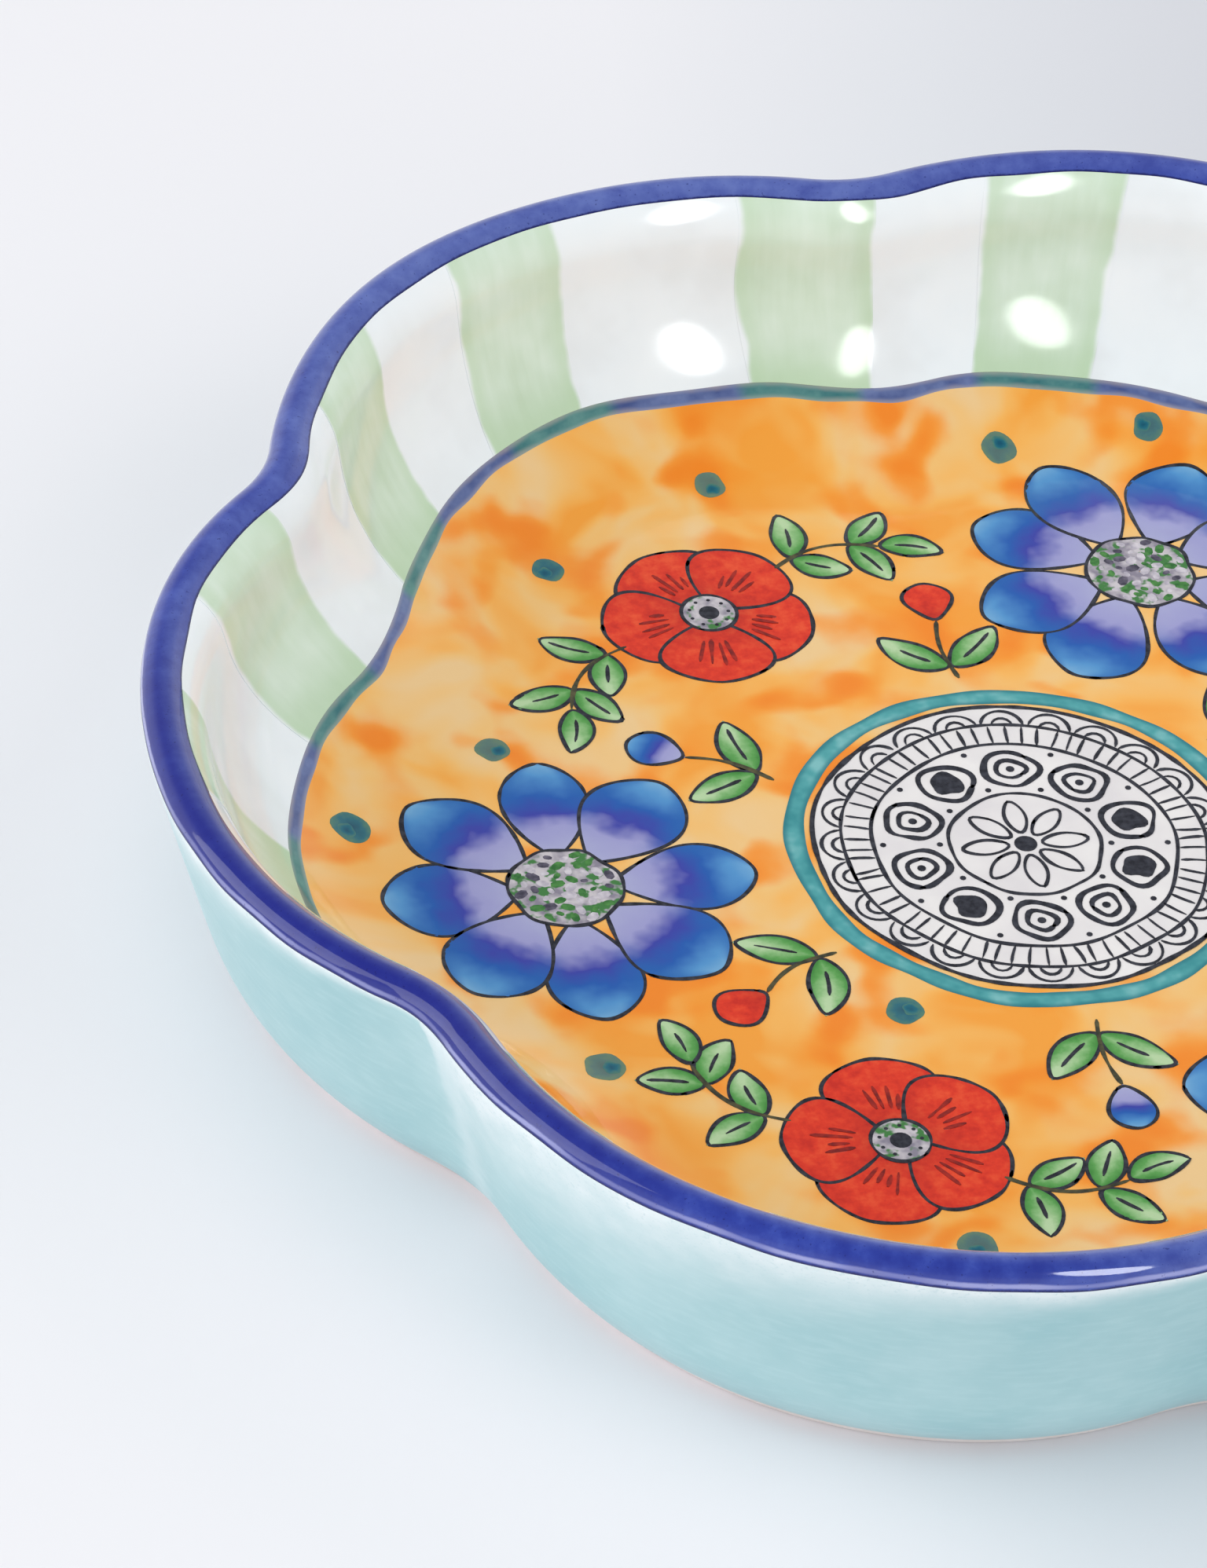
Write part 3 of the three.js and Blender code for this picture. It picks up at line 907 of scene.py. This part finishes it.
def smooth_line(points, step):
    """A line through the points, as places an even step apart, with its corners rounded."""
    points = np.asarray(points, float)
    walked = np.concatenate([[0], np.cumsum(np.linalg.norm(np.diff(points, axis=0), axis=1))])
    even = np.linspace(0, walked[-1], max(4, int(walked[-1] / step) + 1))
    placed = np.stack([np.interp(even, walked, values) for values in points.T], 1)
    for _ in range(2):
        placed[1:-1] = (placed[:-2] + 2 * placed[1:-1] + placed[2:]) / 4
    return placed


def left_of(spine):
    """The direction to the left of a line at each of its points."""
    ahead = np.gradient(spine, axis=0)
    ahead /= np.linalg.norm(ahead, axis=1)[:, None]
    return np.stack([-ahead[:, 1], ahead[:, 0]], 1)


def ribbon_outline(spine, half_widths):
    """The closed edge of a ribbon, for its pen line."""
    side = left_of(spine) * np.asarray(half_widths)[:, None]
    return np.concatenate([spine + side, (spine - side)[::-1]])


def turned(points, angle, middle):
    c, s = math.cos(angle), math.sin(angle)
    return middle + points @ np.array([[c, s], [-s, c]])


def round_angles(count):
    return np.linspace(0, TURN, count, endpoint=False)


def ring_points(middle, radius, count, wave=None, size=0.0):
    angles = round_angles(count)
    return middle + polar(radius + (size * wave(angles) if wave else 0), angles)


def two_tone(name, size, low, high):
    """Paint that wanders between two tones."""
    tree = new_look(name)
    return tree.finish(tree.shades(tree.noise(size), (0.35, *low), (0.68, *high)))


def petal_blue():
    """Lavender at the base, deep blue across the middle, light blue at the tip."""
    tree = new_look("petal_blue")
    along, across, _ = tree.paint()
    blue = tree.shades(
        along + (tree.noise(4.0) - 0.5) * 0.2,
        (0.0, 138, 140, 192), (0.16, 172, 174, 214), (0.38, 160, 160, 210), (0.49, 58, 66, 168),
        (0.6, 30, 92, 178), (0.76, 84, 150, 208), (0.9, 116, 172, 216), (1.0, 52, 124, 192))
    edge = tree.step(abs(across), 0.4, 1.0) * tree.step(along, 0.3, 0.6)
    return tree.finish(tree.over(blue, edge * 0.75, 34, 100, 178))


def flower_heart():
    """The pale middle of a blue flower, dabbed with green and grey."""
    tree = new_look("flower_heart")
    pale = tree.shades(tree.noise(1.8), (0.35, 140, 134, 150), (0.62, 206, 200, 206))
    return tree.finish(tree.over(pale, tree.step(tree.noise(1.5), 0.5, 0.6), 66, 126, 66))


def petal_red():
    tree = new_look("petal_red")
    along, across, _ = tree.paint()
    brush = tree.noise(1.8, detail=3.0, roughness=0.6)
    red = tree.shades(brush, (0.3, 206, 42, 26), (0.5, 228, 58, 32), (0.72, 240, 84, 46))
    red = tree.over(red, tree.step(1.0 - along, 0.45, 0.95) * 0.55, 150, 28, 22)
    return tree.finish(tree.over(red, tree.step(abs(across), 0.6, 1.0) * 0.3, 196, 34, 24))


def leaf_green():
    tree = new_look("leaf_green")
    along, across, _ = tree.paint()
    brush = tree.noise(1.8, detail=3.0, roughness=0.6)
    green = tree.shades(
        along - abs(across) * 0.42 + brush * 0.5,
        (0.2, 66, 138, 60), (0.42, 94, 162, 84), (0.62, 142, 190, 128), (0.86, 186, 215, 168))
    green = tree.over(green, tree.step(abs(across), 0.62, 1.0) * 0.6, 70, 140, 70)
    return tree.finish(tree.over(green, tree.step(along, 0.88, 1.0) * 0.8, 34, 66, 50))


def teal_paint():
    tree = new_look("teal_paint")
    teal = tree.shades(tree.noise(3.2), (0.3, 58, 144, 150), (0.52, 84, 166, 170), (0.74, 128, 192, 194))
    edge = tree.step(abs(tree.paint()[1]), 0.3, 1.0)
    return tree.finish(tree.over(teal, edge * 0.8, 36, 118, 130))


def dot_teal():
    """A round dab of teal, dark where the brush first touched."""
    tree = new_look("dot_teal")
    out, _, strength = tree.paint()
    teal = tree.shades(
        out * 0.5 + tree.noise(1.4) * 0.6, (0.3, 12, 82, 108), (0.6, 30, 106, 124), (0.85, 80, 128, 112))
    return tree.finish(tree.over(teal, 1.0 - strength, 150, 150, 96))


# Motifs

TIP_HALF_WIDTH = 0.02
PETAL = Named(steps=18, fullness_share=0.62, roundness=0.62, wander_share=0.06)
LEAF = Named(
    steps=16, fullness=0.9, roundness=0.85, bow_share=0.1, vein_start=5, vein_end=10, vein_pen=0.42)
HEART_WANDER = 0.25
DABS = Named(count=46, spread_share=0.88, smallest=0.35, largest=0.75, wander_share=0.25)
DAB_SHARES = (0.42, 0.36, 0.22)
VEINS = Named(
    sides=(-0.3, -0.1, 0.12, 0.3), start=3.6, spread=0.8, shortest=5.8, longest=8.6, narrowing=0.9,
    pen=0.45)
STAMENS = Named(count=9, reach=2.3, radius=0.24, middle=1.2)
TWIG_PEN = 0.5
GARLAND = Named(
    start=12.5, sweep=14.0, reach=54.5, bow=1.6, steps=33, pairs=(6, 24), leaf_turns=(0.9, 1.0),
    leaf=(8.0, 4.2), length_shares=(0.95, 1.05), end_leaf=(7.8, 4.0))
SPRIG = Named(
    start=29.4, length=10.5, sway=0.05, steps=16, pair=3, leaf_turns=(0.8, 0.95),
    leaf=(9.6, 4.5), bud=(7.0, 5.8))
MEDALLION_EDGE = Named(wander=0.2, pen=0.55)
RINGS = ((20.6, 140, 0.2), (17.2, 120, 0.2), (8.6, 70, 0.15))
ARCHES = Named(count=24, reach=20.7, radii=(2.45, 1.25), stretch_shares=(0.95, 1.05), steps=13)
STROKES = Named(count=66, start=17.4, bend_and_end=(18.9, 20.4), stray=0.008, lean=0.01, pen=0.34)
PODS = Named(
    count=10, turn_share=0.3, reach=12.9, radius=3.1, wander=0.3, pen=0.66, inner=1.7, inner_pen=0.58,
    filled=1.9, filled_wander=0.25, filled_every=3, dot=0.5, beside=3.2, small_dot=0.36)
ROSETTE = Named(count=8, start=1.6, length=6.0, half_width=1.25, roundness=0.8, steps=12, heart=1.3)
FINE_PEN = 0.38
RING_SWAY = 0.2
RING_WIDTH_WANDER = 0.12
DOTS = Named(
    count=18, clearance=3.6, spacing=17.0, edge=3.6, nearest_share=0.15, tries=4000,
    smallest=1.8, largest=2.3, wander=0.12, palest=0.6, seed_limit=1 << 20)
DOT_TOUCH = Named(offset_share=0.35, size_share=0.45, wander=0.1)
GOLDEN_TURN = math.pi * (3 - math.sqrt(5))


def petal_half_widths(along, width):
    """Half width of a petal that swells to its fullest past its middle."""
    swell = np.sin(math.pi * along ** (1 / (2 * (1 - PETAL.fullness_share))))
    return width / 2 * swell ** PETAL.roundness


def round_spread(count):
    """Shares from 0 to 1 that crowd towards both ends, for round tips."""
    return (1 - np.cos(np.linspace(0, math.pi, count))) / 2


def petal(painting, base, angle, length, width, look, ink, number, layer=0, bend=0.0):
    along = round_spread(PETAL.steps)
    spine = turned(np.stack([length * along, bend * length * along ** 2], 1), angle, base)
    wave = Waves(int(painting.random.integers(SEED_LIMIT)), 2, 7)
    half = petal_half_widths(along, width) * (1 + PETAL.wander_share * wave(along)) + TIP_HALF_WIDTH
    painting.outlined(spine, half, look, ink, layer, across=9, number=number)


def leaf(painting, base, angle, size, looks, layer=1):
    length, width = size
    along = round_spread(LEAF.steps)
    bow = np.sin(math.pi * along) * painting.random.uniform(-LEAF.bow_share, LEAF.bow_share)
    spine = turned(np.stack([length * along, length * bow], 1), angle, base)
    half = width / 2 * np.sin(math.pi * along ** LEAF.fullness) ** LEAF.roundness + TIP_HALF_WIDTH
    painting.outlined(spine, half, looks.leaf, looks.ink, layer, number=painting.random.uniform())
    vein = spine[LEAF.vein_start: LEAF.vein_end + int(painting.random.integers(3))]
    painting.line(vein, looks.ink, LEAF.vein_pen)


def flower_middle(flower, angle):
    """Where a flower's middle lies, as its petals keep their gap to the ring."""
    reach = MEDALLION_RADIUS + RING_GAP + RING_WIDTH + flower.gap + flower.base + flower.length
    return polar(reach, angle)


def daisy(lobe, facing, looks):
    """A daisy-like flower of broad petals round a pale, dabbed heart."""
    painting = Painting(f"daisy_{lobe + 1}", 500 + lobe)
    random = painting.random
    middle = flower_middle(DAISY, facing)
    for turn in range(DAISY.petals):
        angle = facing + turn * TURN / DAISY.petals + random.normal(0, DAISY.stray)
        length = DAISY.length * random.uniform(*DAISY.length_shares)
        width = DAISY.width * random.uniform(*DAISY.width_shares)
        base = middle + polar(DAISY.base, angle)
        petal(painting, base, angle, length, width, looks.blue, looks.ink,
              number=turn, layer=turn % 2, bend=random.normal(0, DAISY.bend))
    wave = RoundWaves(600 + lobe, 3, 9)
    radii = DAISY.heart + HEART_WANDER * wave(round_angles(48))
    painting.disc(middle, radii, looks.heart, layer=3)
    painting.loop(ring_points(middle, DAISY.heart, 48, wave, HEART_WANDER), looks.ink)
    around = round_angles(9)
    for turn in range(DABS.count):
        reach = DAISY.heart * DABS.spread_share * math.sqrt((turn + 0.5) / DABS.count)
        spot = middle + polar(reach, turn * GOLDEN_TURN)
        size = random.uniform(DABS.smallest, DABS.largest)
        look = looks.dabs[int(random.choice(len(DAB_SHARES), p=DAB_SHARES))]
        radii = size * (1 + DABS.wander_share * np.sin(2 * around + turn))
        painting.disc(spot, radii, look, layer=4, rings=2)
    painting.finish("blue_paint", f"floor_daisy_{lobe + 1}")


def poppy(lobe, facing, looks):
    """A round poppy of broad petals with a dark, ringed heart."""
    painting = Painting(f"poppy_{lobe + 1}", 700 + lobe)
    random = painting.random
    ink = looks.ink
    middle = flower_middle(POPPY, facing)
    for turn in range(POPPY.petals):
        angle = facing + turn * TURN / POPPY.petals + random.normal(0, POPPY.stray)
        base = middle + polar(POPPY.base, angle)
        length = POPPY.length * random.uniform(*POPPY.length_shares)
        petal(painting, base, angle, length, POPPY.width, looks.red, ink,
              number=turn, layer=turn % 3)
        for side in VEINS.sides:
            start = base + polar(VEINS.start + random.uniform(0, VEINS.spread), angle + side)
            reach = random.uniform(VEINS.shortest, VEINS.longest)
            end = base + polar(reach, angle + side * VEINS.narrowing)
            painting.line([start, (start + end) / 2, end], looks.dark_red, VEINS.pen)
    painting.disc(middle, np.full(32, POPPY.heart), looks.heart, layer=4)
    painting.loop(ring_points(middle, POPPY.heart, 32), ink, POPPY.heart_pen)
    painting.spot(middle, STAMENS.middle, ink, count=20, rings=3)
    for turn in range(STAMENS.count):
        place = middle + polar(STAMENS.reach, turn * TURN / STAMENS.count)
        painting.spot(place, STAMENS.radius, ink)
    painting.finish("red_paint", f"floor_poppy_{lobe + 1}")


def garland(number, middle_angle, side, looks):
    """A twig that leaves a poppy, with leaves in pairs and one at its end."""
    painting = Painting(f"garland_{number:02d}", 800 + number)
    shares = np.linspace(0, 1, GARLAND.steps)
    angles = middle_angle + side * np.radians(GARLAND.start + GARLAND.sweep * shares)
    twig = polar(GARLAND.reach + GARLAND.bow * np.sin(math.pi * shares), angles)
    painting.line(twig, looks.stem, TWIG_PEN, layer=2)
    ahead = np.gradient(twig, axis=0)
    headings = np.arctan2(ahead[:, 1], ahead[:, 0])
    for place in GARLAND.pairs:
        for hand in (1, -1):
            angle = headings[place] + hand * painting.random.uniform(*GARLAND.leaf_turns)
            longer = painting.random.uniform(*GARLAND.length_shares)
            length, width = GARLAND.leaf
            leaf(painting, twig[place], angle, (length * longer, width), looks)
    leaf(painting, twig[-1], headings[-1], GARLAND.end_leaf, looks, layer=3)
    painting.finish("amber_glaze")


def sprig(number, angle, looks):
    """A short twig that points from the middle to a notch, with two leaves and a bud."""
    painting = Painting(f"sprig_{number}", 900 + number)
    shares = np.linspace(0, 1, SPRIG.steps)
    angles = angle + painting.random.uniform(-SPRIG.sway, SPRIG.sway) * np.sin(math.pi * shares)
    twig = polar(SPRIG.start + SPRIG.length * shares, angles)
    painting.line(twig, looks.stem, TWIG_PEN, layer=2)
    for hand in (1, -1):
        turn_out = hand * painting.random.uniform(*SPRIG.leaf_turns)
        leaf(painting, twig[SPRIG.pair], angle + turn_out, SPRIG.leaf, looks)
    bud = looks.red if number % 2 else looks.blue
    petal(painting, twig[-1], angle, *SPRIG.bud, bud, looks.ink, number=2, layer=2)
    painting.finish("amber_glaze")


def medallion_border(painting, ink):
    """Double arches round the edge, and short strokes inside them."""
    for arch in range(ARCHES.count):
        facing = (arch + 0.5) * TURN / ARCHES.count
        swing = np.linspace(-math.pi / 2, math.pi / 2, ARCHES.steps) + facing
        for radius in ARCHES.radii:
            stretch = painting.random.uniform(*ARCHES.stretch_shares, 2)
            painting.line(polar(ARCHES.reach, facing) + polar(radius, swing) * stretch, ink, FINE_PEN)
    for stroke in range(STROKES.count):
        angle = stroke * TURN / STROKES.count + painting.random.normal(0, STROKES.stray)
        lean = painting.random.normal(0, STROKES.lean)
        inner = [polar(reach, angle + lean) for reach in STROKES.bend_and_end]
        painting.line([polar(STROKES.start, angle), *inner], ink, STROKES.pen)


def medallion_pods(painting, ink):
    """A ring of uneven rounds, some filled, with dots between them."""
    for pod in range(PODS.count):
        angle = (pod + PODS.turn_share) * TURN / PODS.count
        middle = polar(PODS.reach, angle)
        shape = RoundWaves(960 + pod, 2, 5)
        painting.loop(ring_points(middle, PODS.radius, 30, shape, PODS.wander), ink, PODS.pen)
        if pod % PODS.filled_every == 0:
            radii = PODS.filled + PODS.filled_wander * shape(round_angles(24) + 1)
            painting.disc(middle, radii, ink, layer=INK_LAYER, rings=3)
        else:
            inner = ring_points(middle, PODS.inner, 20, shape, PODS.wander)
            painting.loop(inner, ink, PODS.inner_pen)
            painting.spot(middle, PODS.dot, ink, count=10)
        for side in (-1, 1):
            reach = PODS.reach + side * PODS.beside
            painting.spot(polar(reach, angle + TURN / PODS.count / 2), PODS.small_dot, ink)


def medallion(looks):
    """The white middle, drawn in ink: arches, strokes, rings with dots, and a rosette."""
    painting = Painting("medallion", 950)
    ink = looks.ink
    wave = RoundWaves(951, 3, 10)
    wander = MEDALLION_EDGE.wander
    edge = MEDALLION_RADIUS - wander
    painting.disc((0, 0), edge + wander * wave(round_angles(120)), looks.white, rings=18)
    painting.loop(ring_points((0, 0), edge, 160, wave, wander), ink, MEDALLION_EDGE.pen)
    for radius, count, wander in RINGS:
        painting.loop(ring_points((0, 0), radius, count, wave, wander), ink)
    medallion_border(painting, ink)
    medallion_pods(painting, ink)
    along = round_spread(ROSETTE.steps)
    half = ROSETTE.half_width * np.sin(math.pi * along) ** ROSETTE.roundness + TIP_HALF_WIDTH
    for turn in range(ROSETTE.count):
        angle = turn * TURN / ROSETTE.count
        spine = np.stack([ROSETTE.length * along, 0 * along], 1)
        spine = turned(spine, angle, polar(ROSETTE.start, angle))
        painting.loop(ribbon_outline(spine, half), ink, FINE_PEN)
    painting.spot((0, 0), ROSETTE.heart, ink, count=20, rings=3)
    painting.finish("white_paint", "floor_medallion")


def teal_ring(looks):
    painting = Painting("teal_ring", 970)
    angles = np.linspace(0, TURN, 181)
    wave, width = RoundWaves(971, 3, 10), RoundWaves(972, 6, 24)
    middle_line = MEDALLION_RADIUS + RING_GAP + RING_WIDTH / 2 + RING_SWAY * wave(angles)
    half = RING_WIDTH / 2 + RING_WIDTH_WANDER * width(angles)
    painting.ribbon(polar(middle_line, angles), half, looks.teal, across=5)
    painting.finish("teal_paint", "floor_ring")


def free_places(random):
    """Places on the floor clear of what is painted there, and of each other."""
    painted = np.concatenate(painted_places)
    edge = SECTION.at(SECTION.line_end)[0] + DOTS.edge
    found = []
    for _ in range(DOTS.tries):
        angle = random.uniform(0, TURN)
        share = math.sqrt(random.uniform(DOTS.nearest_share, 1.0))
        spot = polar(outline_reach(edge, angle) * share, angle)
        clear = np.linalg.norm(painted - spot, axis=1).min() > DOTS.clearance
        if clear and all(np.linalg.norm(other - spot) > DOTS.spacing for other in found):
            found.append(spot)
        if len(found) == DOTS.count:
            break
    return found


def teal_dots(looks):
    painting = Painting("teal_dots", 980)
    random = painting.random
    around = round_angles(24)
    for spot in free_places(random):
        shape = RoundWaves(int(random.integers(DOTS.seed_limit)), 2, 5)
        size = random.uniform(DOTS.smallest, DOTS.largest)
        strength = random.uniform(DOTS.palest, 1.0)
        painting.disc(spot, size + DOTS.wander * shape(around), looks.dot, rings=6, number=strength)
        touch_down = spot + polar(DOT_TOUCH.offset_share * size, random.uniform(0, TURN))
        radii = DOT_TOUCH.size_share * size + DOT_TOUCH.wander * shape(around + 2)
        painting.disc(touch_down, radii, looks.dot, layer=1, number=1.0)
    painting.finish("teal_paint")


def paint_floor():
    looks = Named(
        ink=two_tone("ink_paint", 0.9, (26, 28, 38), (58, 60, 70)),
        stem=two_tone("stem_ink", 1.2, (50, 52, 40), (92, 88, 58)),
        blue=petal_blue(),
        heart=flower_heart(),
        red=petal_red(),
        dark_red=two_tone("dark_red_paint", 1.0, (120, 26, 24), (170, 40, 28)),
        dabs=(
            two_tone("green_dabs", 1.0, (44, 104, 48), (84, 146, 74)),
            two_tone("pale_dabs", 1.0, (176, 170, 184), (218, 212, 220)),
            two_tone("grey_dabs", 1.0, (60, 58, 74), (110, 104, 122)),
        ),
        leaf=leaf_green(),
        teal=teal_paint(),
        dot=dot_teal(),
        white=two_tone("white_paint", 8.0, (228, 224, 226), (241, 238, 237)),
    )
    medallion(looks)
    teal_ring(looks)
    for lobe in range(LOBE_COUNT):
        angle = lobe * LOBE_TURN
        if lobe % 2:
            daisy(lobe, angle, looks)
        else:
            poppy(lobe, angle, looks)
            for side in (-1, 1):
                garland(lobe * 2 + (side > 0), angle, side, looks)
        sprig(lobe, angle + LOBE_TURN / 2, looks)
    teal_dots(looks)


# The dish

def make_dish():
    clay = bare_clay()
    aqua = aqua_glaze()
    make_body(clay)
    make_foot(clay)
    make_base_glaze(aqua)
    edges = [0 * ANGLES, *(edge(ANGLES) for edge in (band_outside, band_inside, line_start, line_end))]
    coats = (
        ("outside", "aqua_glaze", "outside_glaze", OUTSIDE_ROWS, aqua),
        ("rim", "cobalt_glaze", "rim_glaze", COAT_ROWS, cobalt_glaze()),
        ("wall", "cream_glaze", "wall_glaze", COAT_ROWS, cream_glaze()),
        ("floor_line", "line_glaze", "floor_line_glaze", LINE_ROWS, line_paint()),
    )
    for start, end, (name, slot, node, rows, material) in zip(edges, edges[1:], coats):
        keep(round_coat(name, start, end, rows), slot, node, material=material)
    make_ground(amber_glaze())
    mint = mint_paint()
    for number in range(STRIPE_COUNT):
        make_stripe(number, mint)
    paint_floor()


# Stage, light and camera

CAMERA_PLACE = (-203.5, -550.2, 504.0)
CAMERA_PITCH = 0.7001
CAMERA_HEADING = math.radians(74.35)
CAMERA_ROLL = 0.0864
FOCAL_PIXELS = 8741
PICTURE_HEIGHT = 1996
SENSOR = 36.0


def direction(azimuth, elevation):
    flat = math.cos(elevation)
    return Vector((flat * math.cos(azimuth), flat * math.sin(azimuth), math.sin(elevation)))


def make_camera():
    camera = bpy.data.cameras.new("camera")
    camera.sensor_width = SENSOR
    camera.lens = FOCAL_PIXELS * SENSOR / PICTURE_HEIGHT
    camera.clip_start = 0.01
    camera.clip_end = 50
    made = link("camera", camera)
    forward = direction(CAMERA_HEADING, -CAMERA_PITCH)
    right = forward.cross(Vector((0, 0, 1))).normalized()
    up = right.cross(forward)
    rolled_right = math.cos(CAMERA_ROLL) * right + math.sin(CAMERA_ROLL) * up
    rolled_up = math.cos(CAMERA_ROLL) * up - math.sin(CAMERA_ROLL) * right
    turn = Matrix((rolled_right, rolled_up, -forward)).transposed().to_4x4()
    turn.translation = Vector(CAMERA_PLACE) * MILLIMETRE
    made.matrix_world = turn
    bpy.context.scene.camera = made


def area_light(
        name, azimuth, elevation, distance, size, power, colour=(1.0, 1.0, 1.0), lights=True, shows=True):
    """A soft light that faces the dish. It lights the paint, shows in the gloss, or both."""
    light = bpy.data.lights.new(name, "AREA")
    light.shape = "RECTANGLE" if lights else "ELLIPSE"
    light.size, light.size_y = size
    light.energy = power
    light.color = colour
    made = link(name, light)
    place = direction(math.radians(azimuth), math.radians(elevation)) * distance
    made.location = place
    made.rotation_euler = (-place).to_track_quat("-Z", "Y").to_euler()
    made.visible_diffuse = lights
    made.visible_glossy = shows


FLOOR_REACH = 6000.0
SHADE_LEAN = -0.15
SHADE_RATE = 4.0
SHADE_AT_AXIS = 0.6
GLOW_REACHES = (0.096, 0.127)
GLOW_SHADES = (0.4, 0.6)


def make_stage():
    """A pale floor, with painted shade that greys it to the right of the view and a painted glow that
    makes it palest close to the dish's left.
    """
    corners = np.array([(-1, -1, 0), (1, -1, 0), (1, 1, 0), (-1, 1, 0)])
    floor = make_mesh("floor", corners * FLOOR_REACH, [(0, 1, 2, 3)], smooth=False)
    tree = new_look("floor")
    x, y, _ = tree.parts(tree.place())
    # Painted shade: the floor's colour greys to the right of the view, where the light falls off.
    aside = (x + y * SHADE_LEAN) * SHADE_RATE + SHADE_AT_AXIS
    pale = tree.shades(
        aside, (0.46, 240, 240, 244), (0.62, 229, 231, 236), (0.77, 218, 220, 226), (1.0, 204, 207, 213))
    # A painted glow: the floor's colour palest close to the dish's left, lifting the shade there.
    from_axis = tree.add("VectorMath", {0: tree.place()}, operation="LENGTH").outputs[1]
    beside = (1.0 - tree.step(from_axis, *GLOW_REACHES)) * (1.0 - tree.step(aside, *GLOW_SHADES))
    shader = tree.add("BsdfDiffuse", {0: tree.over(pale, beside, 252, 248, 252)})
    tree.add("OutputMaterial", {0: shader.outputs[0]})
    floor.data.materials.append(tree.owner)


WORLD_STRENGTH = 0.77


def make_world():
    """Even light from all round. In the gloss the room shows pale at the sides and dim overhead."""
    world = bpy.data.worlds.new("world")
    bpy.context.scene.world = world
    tree = Tree(world)
    height = tree.parts(tree.once("TexCoord").outputs["Generated"])[2]
    room = tree.ramp(
        height,
        (0.0, (1.0, 1.0, 1.0, 1.0)),
        (0.3, (0.9, 0.92, 0.95, 1.0)),
        (0.55, (0.42, 0.43, 0.45, 1.0)),
        (0.90, (0.2, 0.2, 0.22, 1.0)),
    )
    even = tree.add("Background", {0: (0.99, 0.993, 1.0, 1.0), 1: WORLD_STRENGTH})
    seen = tree.add("Background", {0: room, 1: 1.0})
    glossy = tree.once("LightPath").outputs["Is Glossy Ray"]
    both = tree.add("MixShader", {0: glossy, 1: even.outputs[0], 2: seen.outputs[0]})
    tree.add("OutputWorld", {0: both.outputs[0]})


def make_light():
    make_world()
    area_light("side_window", azimuth=172, elevation=26, distance=1.5, size=(1.1, 1.0), power=7.0)
    area_light(
        "low_window", azimuth=-98, elevation=17, distance=2.0, size=(1.8, 0.9), power=4.8, shows=False)
    area_light(
        "high_window", azimuth=-30, elevation=48, distance=1.5, size=(1.3, 1.0), power=4.2,
        colour=(0.99, 0.995, 1.0), shows=False)
    area_light(
        "lamp", azimuth=-73, elevation=39.6, distance=1.2, size=(0.27, 0.6), power=5.2,
        colour=(0.98, 1.0, 1.0), lights=False)


make_camera()
make_stage()
make_light()
make_dish()

bpy.context.scene.view_settings.view_transform = "Standard"
